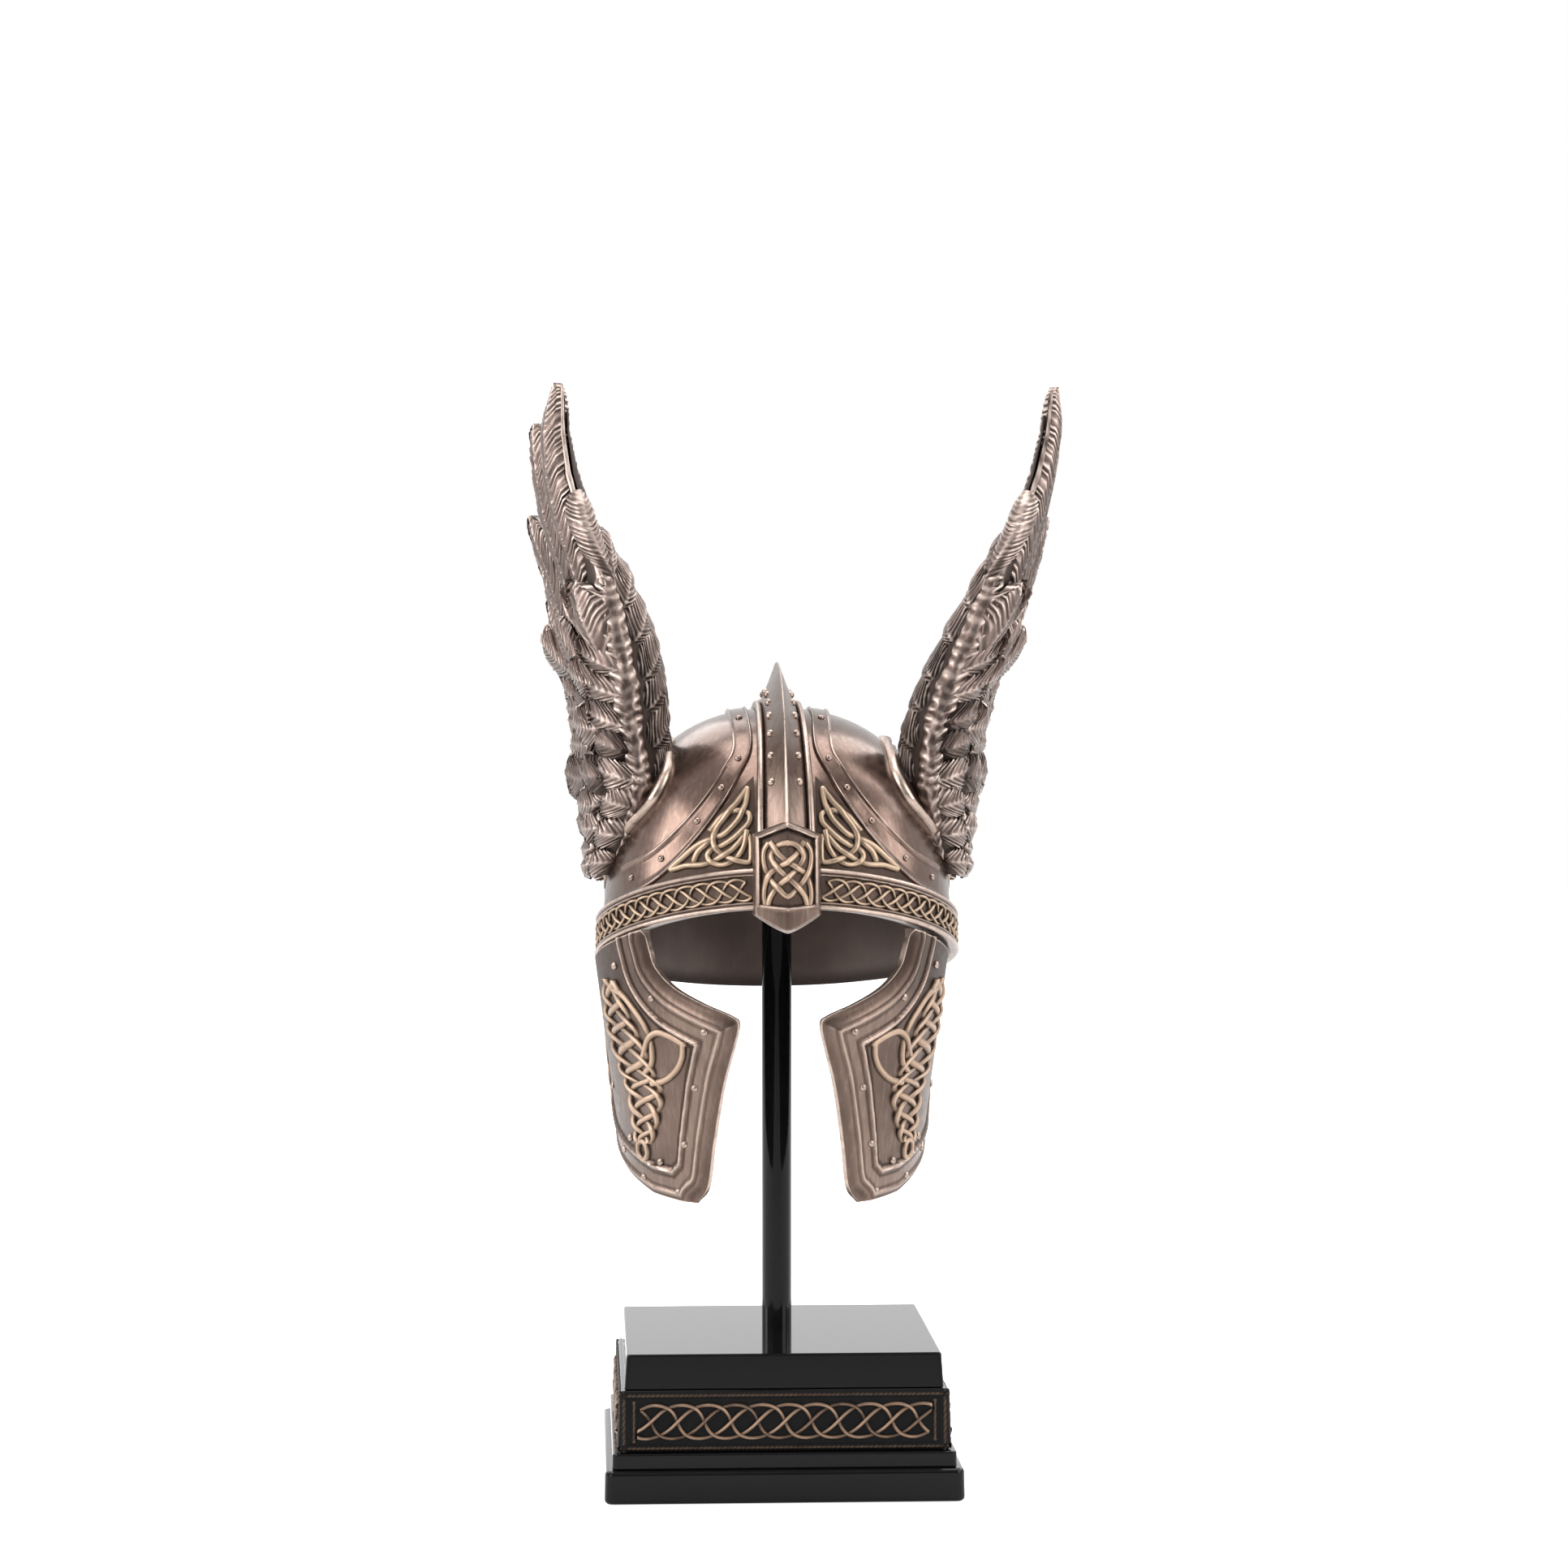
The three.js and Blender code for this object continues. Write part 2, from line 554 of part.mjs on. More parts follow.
// A pointed oval blade with a shaft ridge, laid on a face of the wing, or through it when face is 0
function featherSolid(name, side, feather, face, lift) {
  const stops = [0, 0.4, 0.82, 1];
  const base = new THREE.Vector2(feather.baseZ, feather.baseW);
  const run = new THREE.Vector2(feather.tipZ, feather.tipW).sub(base);
  const aside = new THREE.Vector2(-run.y, run.x).normalize();
  return bentBlock(stops.length - 1, 2, 1, (along, across, layer) => {
    const t = steppedShare(stops, along);
    const half = feather.width / 2 * Math.max(0.06, Math.sqrt(1 - (2 * t - 1) ** 4));
    const c = across * 2 - 1;
    const bow = 0.07 * run.length() * Math.sin(t * Math.PI);
    const spot = base.clone().addScaledVector(run, t).addScaledVector(aside, c * half + bow);
    const share = spot.y / Math.max(wingChord(name, spot.x), 1);
    const ridge = c === 0 ? 0.7 : 0.25;
    if (face === 0) {
      const swell = (layer > 0.5 ? ridge : -ridge) * 1.4;
      return wingPoint(name, side, spot.x, spot.y, swell);
    }
    const seat = wingBulge(name, spot.x, share, face);
    const rise = lift * t ** 0.5;
    const height = layer > 0.5 ? rise + ridge : rise - 1.6;
    return wingPoint(name, side, spot.x, spot.y, seat + face * height);
  });
}

function wingSolid(name, side) {
  const feathers = FLIGHT_FEATHERS.map((feather) => featherSolid(name, side, feather, 0, 0));
  for (const row of COVERT_ROWS) {
    for (let i = 0; i < row.count; i += 1) {
      const share = i / (row.count - 1);
      const baseZ = lerp(row.top.z, row.foot.z, share);
      const baseW = lerp(row.top.w, row.foot.w, share);
      const feather = {
        baseZ,
        baseW,
        tipZ: baseZ + lerp(row.reach.z, row.lastReach.z, share ** 0.8),
        tipW: baseW + lerp(row.reach.w, row.lastReach.w, share),
        width: row.width,
      };
      feathers.push(featherSolid(name, side, feather, row.face, row.lift));
    }
  }
  const seat = domeSolid(BOWL_RINGS * 2, WING_SEAT, -BOWL.halfWidth / 4);
  return mainBody(joined([wingCore(name, side), ...feathers]).subtract(seat));
}

// Interlace: a strand of flat section follows a drawn curve, and place puts the drawing on its surface
function strandSolid(curve, steps, place, width, height) {
  return bentBlock(steps, 1, 1, (along, across, layer) => {
    const middle = curve(along);
    const ahead = curve(along + 0.002).sub(curve(along - 0.002)).normalize();
    const half = (across - 0.5) * width * (layer > 0.5 ? STRAND.crown : 1);
    return place(middle.x - ahead.y * half, middle.y + ahead.x * half, layer > 0.5 ? height : 0);
  });
}

// The strands of a knot, each a little lower than the one before, so that one passes over the other
function wovenSolid(curves, steps, place, width) {
  const drop = STRAND.height * STRAND.drop;
  return joined(curves.map((curve, i) =>
    strandSolid(curve, steps, place, width, STRAND.height - drop * (i % 3))));
}

// One closed curve cut into arcs that overlap at their ends
function arcsOf(curve, count) {
  const overlap = 0.06;
  return Array.from({ length: count }, (_, i) => (t) => curve((i + t * (1 + overlap)) / count));
}

// Running plait of two strands along x, centred on y = 0
function plaitSolid(length, turns, halfHeight, place) {
  const strands = [0, Math.PI].map((phase) => (t) => {
    const turn = t * turns * Math.PI * 2 + phase;
    return new THREE.Vector2(t * length, halfHeight * Math.sin(turn));
  });
  return wovenSolid(strands, turns * 3, place, STRAND.width);
}

// Knot of three long loops that fills a triangle
function cornerKnot(corners, place) {
  const [a, b, c] = corners;
  const middle = a.clone().add(b).add(c).divideScalar(3);
  const drawn = (t) => {
    const turn = t * Math.PI * 2;
    const x = (Math.sin(turn) + 2 * Math.sin(2 * turn)) / 3;
    const y = (Math.cos(turn) - 2 * Math.cos(2 * turn)) / 3;
    const spot = middle.clone();
    corners.forEach((corner, i) => {
      const angle = i * Math.PI * 2 / 3 + Math.PI / 3;
      const pull = (x * Math.sin(angle) + y * Math.cos(angle)) * 2 / 3;
      spot.addScaledVector(corner.clone().sub(middle), pull);
    });
    return spot;
  };
  return wovenSolid(arcsOf(drawn, 3), 8, place, STRAND.width);
}

// Chain of loops that narrows downwards
function hangingKnot(length, turns, halfTop, halfFoot, place) {
  const strands = [0, Math.PI].map((phase) => (t) => {
    const half = lerp(halfTop, halfFoot, t);
    return new THREE.Vector2(half * Math.sin(t * turns * Math.PI + phase), t * length);
  });
  return wovenSolid(strands, turns * 3, place, STRAND.width * STRAND.broad);
}

// Assembly
const helmetOnStand = new THREE.Group();
const add = (name, solid, finish) => helmetOnStand.add(meshOf(name, solid, finish));

let level = 0;
for (const tier of TIERS) {
  const square = new THREE.Shape();
  const half = tier.low / 2;
  const r = tier.corner;
  square.moveTo(-half + r, -half);
  square.lineTo(half - r, -half);
  square.absarc(half - r, -half + r, r, -Math.PI / 2, 0);
  square.lineTo(half, half - r);
  square.absarc(half - r, half - r, r, 0, Math.PI / 2);
  square.lineTo(-half + r, half);
  square.absarc(-half + r, half - r, r, Math.PI / 2, Math.PI);
  square.lineTo(-half, -half + r);
  square.absarc(-half + r, -half + r, r, Math.PI, Math.PI * 1.5);
  const depth = tier.height;
  const block = new THREE.ExtrudeGeometry(square, { depth, bevelEnabled: false, curveSegments: 2 });
  const foot = level;
  const solid = solidFrom(block, (p) => {
    const size = lerp(1, tier.high / tier.low, p.z / tier.height);
    return new THREE.Vector3(p.x * size, p.y * size, p.z + foot);
  });
  add(tier.name, solid, LACQUER);
  level += tier.height;
}
const standTop = level;

const rodTop = CROWN - BOWL.wall - 2 * GAP;
const post = new THREE.CylinderGeometry(ROD_RADIUS, ROD_RADIUS, rodTop - standTop, ROD_SIDES);
add('rod', solidFrom(post, (p) => new THREE.Vector3(p.x, p.z, p.y + (rodTop + standTop) / 2)), LACQUER);

add('bowl', domeSolid(BOWL_RINGS, 0, -BOWL.wall), BRONZE);
add('brow_band', bandSolid(), BRONZE);
add('comb', combSolid(), BRONZE);
add('front_plaque', plaqueSolid(), BRONZE);

const plaqueKnotPlace = (x, y, lift) =>
  plaquePoint(x / PLAQUE.halfWidth, PLAQUE_KNOT.top - y, PLAQUE.field + 1.5 * GAP + lift);
const { half } = PLAQUE_KNOT;
add('plaque_knot', hangingKnot(PLAQUE_KNOT.length, PLAQUE_KNOT.turns, half, half, plaqueKnotPlace), GILT);

for (const [name, side] of [['left', -1], ['right', 1]]) {
  add(`hem_${name}`, hemSolid(side), BRONZE);
  add(`wing_plate_${name}`, plateSolid(side), BRONZE);
  add(`wing_${name}`, wingSolid(name, side), BRONZE);
  add(`cheek_guard_${name}`, guardSolid(side), BRONZE);

  const meanRadius = (BOWL.halfWidth + BOWL.halfDepth) / 2;
  const floor = BAND.floorReach + GAP / 2;
  const browPlace = (x, y, lift) =>
    bandPoint(side * (BROW_KNOT.from + x) / meanRadius, BAND.height / 2 + y, floor + lift);
  const plait = plaitSolid(BROW_KNOT.length, BROW_KNOT.turns, BROW_KNOT.halfHeight, browPlace);
  add(`brow_knot_${name}`, plait, GILT);

  const corners = CORNERS.map(({ x, z }) => new THREE.Vector2(x, z));
  const cornerPlace = (x, z, lift) => frontPoint(side * x, z, GAP + lift);
  add(`corner_knot_${name}`, cornerKnot(corners, cornerPlace), GILT);

  const guardPlace = (x, y, lift) => {
    const middle = lerp(GUARD_KNOT.topAngle, GUARD_KNOT.footAngle, y / GUARD_KNOT.length);
    const degrees = middle + x / GUARD.halfWidth * 180 / Math.PI;
    return guardPoint(side, degrees, GUARD_KNOT.fromTop - y, 1.5 * GAP + lift);
  };
  const { length, turns, halfTop, halfFoot } = GUARD_KNOT;
  add(`cheek_knot_${name}`, hangingKnot(length, turns, halfTop, halfFoot, guardPlace), GILT);
}

export default helmetOnStand;
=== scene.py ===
import math

import bmesh
import bpy
from mathutils import Matrix, Vector


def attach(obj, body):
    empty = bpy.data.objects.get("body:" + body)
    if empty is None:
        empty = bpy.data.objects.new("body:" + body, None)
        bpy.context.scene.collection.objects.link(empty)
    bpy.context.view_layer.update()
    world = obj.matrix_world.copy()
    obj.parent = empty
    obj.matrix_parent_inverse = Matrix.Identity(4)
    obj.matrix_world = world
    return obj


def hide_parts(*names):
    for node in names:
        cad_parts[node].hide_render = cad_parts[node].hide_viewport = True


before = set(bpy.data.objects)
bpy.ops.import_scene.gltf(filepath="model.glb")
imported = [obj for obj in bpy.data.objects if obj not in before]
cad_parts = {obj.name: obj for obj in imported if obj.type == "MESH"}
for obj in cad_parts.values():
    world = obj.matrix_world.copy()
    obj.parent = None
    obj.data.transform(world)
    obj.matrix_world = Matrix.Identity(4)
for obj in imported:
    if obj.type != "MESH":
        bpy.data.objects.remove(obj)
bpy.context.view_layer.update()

# Sizes in millimetres, in the frame of the CAD model
MM = 0.001
TIERS = {
    "foot": {"low": 93.6, "high": 93.2, "from": 0.0, "to": 8.6, "corner": 2.4, "edge": 1.1},
    "step": {"low": 89.6, "high": 89.4, "from": 8.6, "to": 12.8, "corner": 1.4, "edge": 0.5},
    "frieze": {"low": 85.8, "high": 84.8, "from": 12.8, "to": 28.8, "corner": 0.8, "edge": 0.4},
    "plinth": {"low": 83.2, "high": 82.0, "from": 28.8, "to": 38.0, "corner": 1.0, "edge": 0.6},
}
ROD = {"radius": 4.0, "from": 38.0, "to": 202.4}
BOWL = {"half_width": 46.5, "half_depth": 53.0, "waist": 149.0, "rise": 56.5, "roundness": 2.3, "wall": 2.6}
CROWN = BOWL["waist"] + BOWL["rise"]
RIM = {"middle": 138.6, "slope": 0.26, "bend": 0.0007}
BAND = {"floor": 1.3, "dark": 0.62, "middle": 5.3, "start": 10.2, "run": 144, "wave": 19.2}
PLAQUE = {
    "half": 8.7, "peak": 177.0, "corner": 173.4, "shoulder": 153.0, "tip": 148.3, "back": 2.6, "roof": 2.4,
    "floor": 0.75, "under": 1.0, "strand": (1.7, 1.15),
}
COMB = {
    "half_top": 6.3, "half_front": 7.8, "ridge_top": 12.3, "ridge_end": 4.2, "back_end": 138.4,
    "first_rivet": 0.64, "rivet_step": 0.155, "rivets": 16,
}
GUARD = {
    "half_width": 46.8, "half_depth": 53.5, "level": 139.0, "taper": 0.00284, "wall": 3.4,
    "shift": {-1: -2.0, 1: -1.0}, "lip": 3.3, "ridge": 1.6, "line": 7.3, "round": (0.9, -2.6),
}
FRIEZE = {
    "lift": 0.5, "waves": 2.75, "half": 4.3, "strand": 1.0, "height": 0.75, "margin": 0.25, "seat": 0.25,
    "post": 4.4, "overhang": 0.3,
}
WING = {"root": 161, "ridge": (165, 244), "edge": 238, "low": 158, "high": 294}
CORNER = {"seat": 0.12, "strand": (1.55, 1.0), "corners": ((8.0, 188.0), (8.0, 160.0), (36.0, 160.0))}
CHEEK = {"seat": 0.15, "strand": (2.0, 1.05), "run": 50, "waves": 2.25}

# Riveted hem from the wing over the crown to the back: x, z, front or back of the bowl
HEM_PATH = [
    (40.8, 159.6, -1), (32.1, 165.8, -1), (22.1, 176.5, -1), (14.0, 188.2, -1), (10.4, 198.5, -1),
    (10.4, 198.5, 1), (14.0, 188.2, 1), (22.5, 174.0, 1), (32.0, 160.5, 1), (40.8, 147.0, 1),
]
# Across the hem from the comb side, then its height
HEM_PROFILE = [
    (-1, 0.05), (-1, 0.9), (-0.9, 1.15), (-0.78, 1.1), (-0.68, 0.75), (-0.4, 0.7), (0, 0.7), (0.5, 0.6),
    (0.78, 0.65), (0.86, 0.95), (0.93, 1.0), (1, 0.75), (1.04, 0.02),
]
HEM_RIVETS = (0.03, 0.12, 0.22, 0.3, 0.38, 0.47, 0.56, 0.65, 0.75, 0.85, 0.95)
# Wing plate: height and half width
PLATE_ROWS = [(157, 2), (165, 8.5), (169, 15.2), (175, 22.6), (181.5, 27), (189, 24), (194, 15.5), (197, 6)]
# Cheek guard from the rim down: angles from the front in degrees, heights at both ends
GUARD_ROWS = [
    (47, 112, 148.2, 132.8), (45.5, 112, 143, 130), (43.5, 111.5, 138.4, 127.5), (36.7, 111, 133.5, 125),
    (26, 110.5, 129.5, 122), (16, 110, 126.5, 119), (13.3, 109, 124.3, 117), (15.3, 107, 118, 111),
    (19.5, 103, 108, 102), (24.4, 96, 92.5, 91), (28, 80, 81, 84.5), (34, 54, 76.6, 78.3),
]
# Wing sections from the root up: z, leading x and y, trailing x and y, outer and inner bulge
WING_ROWS = {
    "left": [
        (160, 44, -8, 50, 9, 4, 5), (172, 38, -18, 52, 11, 6, 8), (185, 34.4, -22.8, 54.5, 11, 7, 10),
        (200, 37.4, -21.5, 54.5, 13, 6, 10), (212, 38.5, -20, 57, 19, 5, 10.5),
        (225, 41.5, -17, 61, 25, 4, 11), (240, 46, -12, 63.5, 30, 3, 9), (256, 51.6, -4.6, 66, 28, 2, 5),
        (268, 54.8, 1, 66, 26, 1.5, 3), (280, 56.4, 7.3, 65, 22, 1, 1.5), (294, 56.6, 14, 59, 16, 0.6, 0.6),
    ],
    "right": [
        (160, 44, -8, 50, 9, 4, 5), (172, 39, -18, 52.5, 11, 6, 7.5), (185, 36.9, -22.8, 54.5, 11, 7, 8),
        (200, 38.5, -21.5, 57, 13, 6, 7.5), (212, 42.5, -20, 61, 19, 5, 7), (225, 49.5, -17, 67.5, 25, 4, 7),
        (240, 57.5, -12, 72.6, 30, 3, 5.5), (256, 65, -4.6, 75.2, 28, 2, 2.5),
        (268, 69.6, 1, 76.6, 26, 1.5, 1.5), (280, 73, 7.5, 77.4, 22, 1, 1), (293, 75, 14, 76.2, 16, 0.6, 0.6),
    ],
}
SIDES = (("left", -1), ("right", 1))


# Small helpers
def lerp(a, b, t):
    return a + (b - a) * t


def clamp(v, low=0.0, high=1.0):
    return min(max(v, low), high)


def smooth(a, b, v):
    t = clamp((v - a) / (b - a))
    return t * t * (3 - 2 * t)


def bump(v, middle, half):
    return max(0.0, 1 - ((v - middle) / half) ** 2)


def between(rows, at, column):
    last = len(rows) - 1
    i = 0
    while i < last - 1 and at > rows[i + 1][0]:
        i += 1
    share = (at - rows[i][0]) / (rows[i + 1][0] - rows[i][0])
    return lerp(rows[i][column], rows[i + 1][column], share)


def row_at(rows, share):
    return rows[int(round(share * (len(rows) - 1)))]


def curve_through(points, t):
    """A smooth curve through points, at a share of its length in steps."""
    last = len(points) - 1
    at = clamp(t) * last
    i = min(int(at), last - 1)
    f = at - i
    a, b = points[i], points[i + 1]
    before = points[i - 1] if i else a * 2 - b
    after = points[i + 2] if i + 2 <= last else b * 2 - a
    return 0.5 * (2 * a + (b - before) * f + (2 * before - 5 * a + 4 * b - after) * f ** 2
                  + (3 * a - before - 3 * b + after) * f ** 3)


# Mesh building
def sheet(bm, along, across, place, painted_shading=None):
    """A grid whose corners are moved to their place; place gets shares from 0 to 1."""
    # painted_shading gives each corner painted shade where positive and a painted highlight where negative,
    # kept in the ground attribute.
    ground = bm.verts.layers.float.get("ground") or bm.verts.layers.float.new("ground")
    uv = bm.loops.layers.uv.get("UVMap") or bm.loops.layers.uv.new("UVMap")
    made = bmesh.ops.create_grid(bm, x_segments=along, y_segments=across, size=0.5)["verts"]
    faces = {f for v in made for f in v.link_faces}
    for f in faces:
        for loop in f.loops:
            loop[uv].uv = (loop.vert.co.x + 0.5, loop.vert.co.y + 0.5)
    for v in made:
        u, w = v.co.x + 0.5, v.co.y + 0.5
        v.co = place(u, w)
        if painted_shading:
            v[ground] = painted_shading(u, w)
    return made


def slab(bm, along, across, top, under, painted_shading=None):
    """A closed plate between an upper and an under surface."""
    sheet(bm, along, across, top, painted_shading)
    sheet(bm, along, across, under)
    for w in (0, 1):
        sheet(bm, along, 1, lambda u, s, w=w: lerp(under(u, w), top(u, w), s))
    for u in (0, 1):
        sheet(bm, across, 1, lambda v, s, u=u: lerp(under(u, v), top(u, v), s))


def rivet(bm, spot, normal, radius=1.0, height=0.8):
    turn = Vector((0, 0, 1)).rotation_difference(normal).to_matrix().to_4x4()
    place = Matrix.Translation(spot) @ turn @ Matrix.Diagonal((radius, radius, height, 1))
    bmesh.ops.create_uvsphere(bm, u_segments=14, v_segments=8, radius=1, matrix=place)


def placed(name, data):
    thing = bpy.data.objects.new(name, data)
    bpy.context.scene.collection.objects.link(thing)
    return thing


def finish_piece(bm, name, material, node, smooth_angle=50, merge=0.01):
    bmesh.ops.remove_doubles(bm, verts=bm.verts, dist=merge)
    bmesh.ops.dissolve_degenerate(bm, edges=bm.edges, dist=1e-4)
    bmesh.ops.recalc_face_normals(bm, faces=bm.faces)
    bm.normal_update()
    worn = bm.verts.layers.float.new("worn")
    for v in bm.verts:
        total = 0.0
        for e in v.link_edges:
            step = v.co - e.other_vert(v).co
            total += step.normalized().dot(v.normal)
        v[worn] = total / max(len(v.link_edges), 1)
    spread = {}
    for v in bm.verts:
        near = [e.other_vert(v)[worn] for e in v.link_edges]
        spread[v] = (v[worn] * 2 + sum(near)) / (2 + len(near))
    for v, value in spread.items():
        v[worn] = value
    bmesh.ops.transform(bm, matrix=Matrix.Scale(MM, 4), verts=bm.verts)
    for f in bm.faces:
        f.smooth = True
    for e in bm.edges:
        if len(e.link_faces) == 2 and e.calc_face_angle(0) > math.radians(smooth_angle):
            e.smooth = False
    mesh = bpy.data.meshes.new(name)
    bm.to_mesh(mesh)
    bm.free()
    piece = placed(name, mesh)
    mesh.materials.append(material)
    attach(piece, "root")
    if node:
        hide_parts(node)


# Interlace strands
def ribbon(bm, points, lifts, width, height, place, section=8):
    """A rounded strand along a drawn line; place puts the drawing on its surface."""
    last = len(points) - 1

    def spot(u, w):
        i = min(int(round(u * last)), last)
        a, b = points[max(i - 1, 0)], points[min(i + 1, last)]
        if (points[0] - points[last]).length < 1e-6 and i in (0, last):
            a, b = points[last - 1], points[1]
        ahead = (b - a).normalized()
        turn = math.pi * w
        off = -math.cos(turn) * width / 2
        p = points[i]
        return place(p.x - ahead.y * off, p.y + ahead.x * off, lifts[i] + math.sin(turn) ** 0.8 * height)

    # Painted shade along the strand's sides and where it passes under another strand, a painted highlight
    # along its crest.
    def painted_shading(u, w):
        under = smooth(0, -0.4, lifts[min(int(round(u * last)), last)] / height)
        crest = min(w, 1 - w)
        painted_side_shade = 0.95 * (1 - smooth(0.05, 0.4, crest))
        return painted_side_shade - 0.45 * smooth(0.3, 0.5, crest) * (1 - under) + 0.35 * under

    sheet(bm, last, section, spot, painted_shading)


def plait(bm, length, wave, half, width, height, place, per_wave=56, lean=0.0, arch=0.0):
    """A running plait of four strands that pass over and under each other in turn."""
    strands = 4
    steps = max(int(length / wave * per_wave), 8)
    for k in range(strands):
        points, lifts = [], []
        for i in range(steps + 1):
            t = i / steps
            phase = t * length / wave * 2 * math.pi + 2 * math.pi * (k + 0.5) / strands
            ease = arch * clamp(min(t, 1 - t) * 12)
            size = half(t) if callable(half) else half
            y = size * math.sin(phase)
            back = ease * wave / (4 * math.pi) * math.sin(2 * phase)
            points.append(Vector((t * length + lean * y - back, y)))
            lifts.append(height * 0.4 * math.cos(3 * phase))
        ribbon(bm, points, lifts, width, height, place)


def crossings(curves):
    found = []
    for a in range(len(curves)):
        for b in range(a, len(curves)):
            for i in range(len(curves[a]) - 1):
                p, r = curves[a][i], curves[a][i + 1] - curves[a][i]
                for j in range(i + 2 if a == b else 0, len(curves[b]) - 1):
                    q, s = curves[b][j], curves[b][j + 1] - curves[b][j]
                    if abs(p.x - q.x) + abs(p.y - q.y) > 2.5 * (r.length + s.length):
                        continue
                    det = r.x * s.y - r.y * s.x
                    if abs(det) < 1e-12:
                        continue
                    d = q - p
                    t, v = (d.x * s.y - d.y * s.x) / det, (d.x * r.y - d.y * r.x) / det
                    if 0 <= t < 1 and 0 <= v < 1:
                        found.append(((a, i + t), (b, j + v)))
    return found


def woven(bm, curves, width, height, place):
    """Strands that pass over and under each other in turn wherever they cross."""
    meets = {k: [] for k in range(len(curves))}
    for n, (one, other) in enumerate(crossings(curves)):
        meets[one[0]].append((one[1], n))
        meets[other[0]].append((other[1], n))
    over = {}
    for k, points in enumerate(curves):
        spots = sorted(meets[k])
        sign = 1
        for m, (_, n) in enumerate(spots):
            if n in over:
                sign = -over[n] * (-1) ** m
                break
        signs = []
        for m, (at, n) in enumerate(spots):
            way = sign * (-1) ** m
            if n in over:
                way = -over[n]
            else:
                over[n] = way
            signs.append((at, way))
        lengths = [(b - a).length for a, b in zip(points, points[1:])]
        pace = sum(lengths) / len(lengths)
        lifts = []
        for i in range(len(points)):
            lift = 0.0
            for at, way in signs:
                gap = min(abs(i - at), abs(len(points) - 1 - abs(i - at)))
                lift += way * math.exp(-(gap * pace / (width * 0.95)) ** 2)
            lifts.append(height * 0.42 * clamp(lift, -1, 1))
        ribbon(bm, points, lifts, width, height, place)


def through(points, count=150, closed=True):
    knots = [Vector(p) for p in points]
    if not closed:
        return [curve_through(knots, i / count) for i in range(count + 1)]
    ring = knots[-2:] + knots + knots[:3]
    steps = len(ring) - 1
    return [curve_through(ring, (2 + i / count * len(knots)) / steps) for i in range(count + 1)]


# Surface of the bowl
def bowl_share(z):
    t = clamp((z - BOWL["waist"]) / BOWL["rise"])
    return (1 - t ** BOWL["roundness"]) ** (1 / BOWL["roundness"])


def bowl_normal(p):
    q = (p.x / BOWL["half_width"]) ** 2 + (p.y / BOWL["half_depth"]) ** 2
    side = max(q, 1e-9) ** (BOWL["roundness"] / 2 - 1)
    t = max((p.z - BOWL["waist"]) / BOWL["rise"], 0)
    return Vector((side * p.x / BOWL["half_width"] ** 2, side * p.y / BOWL["half_depth"] ** 2,
                   t ** (BOWL["roundness"] - 1) / BOWL["rise"])).normalized()


def outward(x, y, size):
    return Vector((x / size["half_width"] ** 2, y / size["half_depth"] ** 2, 0)).normalized()


def lifted(p, lift):
    return p + bowl_normal(p) * lift


def bowl_point(angle, z, lift):
    share = bowl_share(z)
    x = BOWL["half_width"] * share * math.sin(angle)
    y = -BOWL["half_depth"] * share * math.cos(angle)
    return lifted(Vector((x, y, z)), lift)


def front_point(x, z, lift, behind=-1):
    left = max(bowl_share(z) ** 2 - (x / BOWL["half_width"]) ** 2, 0)
    return lifted(Vector((x, behind * BOWL["half_depth"] * math.sqrt(left), z)), lift)


def side_point(side, y, z, lift):
    left = max(bowl_share(z) ** 2 - (y / BOWL["half_depth"]) ** 2, 0)
    return lifted(Vector((side * BOWL["half_width"] * math.sqrt(left), y, z)), lift)


def rim_height(y):
    return RIM["middle"] - RIM["slope"] * y + RIM["bend"] * y * y


def settled(point, direction):
    """A point near the bowl, slid along a direction until it lies on the bowl."""
    low, high = -9.0, 12.0
    for _ in range(26):
        middle = (low + high) / 2
        p = point + direction * middle
        q = (p.x / BOWL["half_width"]) ** 2 + (p.y / BOWL["half_depth"]) ** 2
        t = max((p.z - BOWL["waist"]) / BOWL["rise"], 0)
        if q ** (BOWL["roundness"] / 2) + t ** BOWL["roundness"] < 1:
            low = middle
        else:
            high = middle
    return point + direction * low


def band_point(angle, up, reach):
    z = rim_height(-BOWL["half_depth"] * math.cos(angle)) + up
    level = bowl_point(angle, z, 0)
    return level + outward(level.x, level.y, BOWL) * reach


# Materials
def node_group(name, inputs, outputs):
    group = bpy.data.node_groups.new(name, "ShaderNodeTree")
    for socket, kind in inputs:
        group.interface.new_socket(socket, in_out="INPUT", socket_type=kind)
    for socket, kind in outputs:
        group.interface.new_socket(socket, in_out="OUTPUT", socket_type=kind)
    nodes = group.nodes
    return group, nodes.new("NodeGroupInput"), nodes.new("NodeGroupOutput")


def fill(node, values):
    for socket, value in values.items():
        node.inputs[socket].default_value = value


def ramp(tree, value, low, high, to_low=0.0, to_high=1.0):
    node = tree.nodes.new("ShaderNodeMapRange")
    node.interpolation_type = "SMOOTHSTEP"
    for i, number in enumerate((low, high, to_low, to_high), 1):
        node.inputs[i].default_value = number
    tree.links.new(value, node.inputs[0])
    return node.outputs[0]


def math_node(tree, operation, a, b):
    node = tree.nodes.new("ShaderNodeMath")
    node.operation = operation
    for socket, value in zip(node.inputs, (a, b)):
        if isinstance(value, (int, float)):
            socket.default_value = value
        else:
            tree.links.new(value, socket)
    return node.outputs[0]


def mix_colour(tree, share, a, b):
    node = tree.nodes.new("ShaderNodeMix")
    node.data_type = "RGBA"
    for socket, value in ((0, share), (6, a), (7, b)):
        tree.links.new(value, node.inputs[socket])
    return node.outputs[2]


def noise(tree, vector, scale, detail=4.0, rough=0.55):
    node = tree.nodes.new("ShaderNodeTexNoise")
    fill(node, {"Scale": scale, "Detail": detail, "Roughness": rough})
    tree.links.new(vector, node.inputs["Vector"])
    return node.outputs["Fac"]


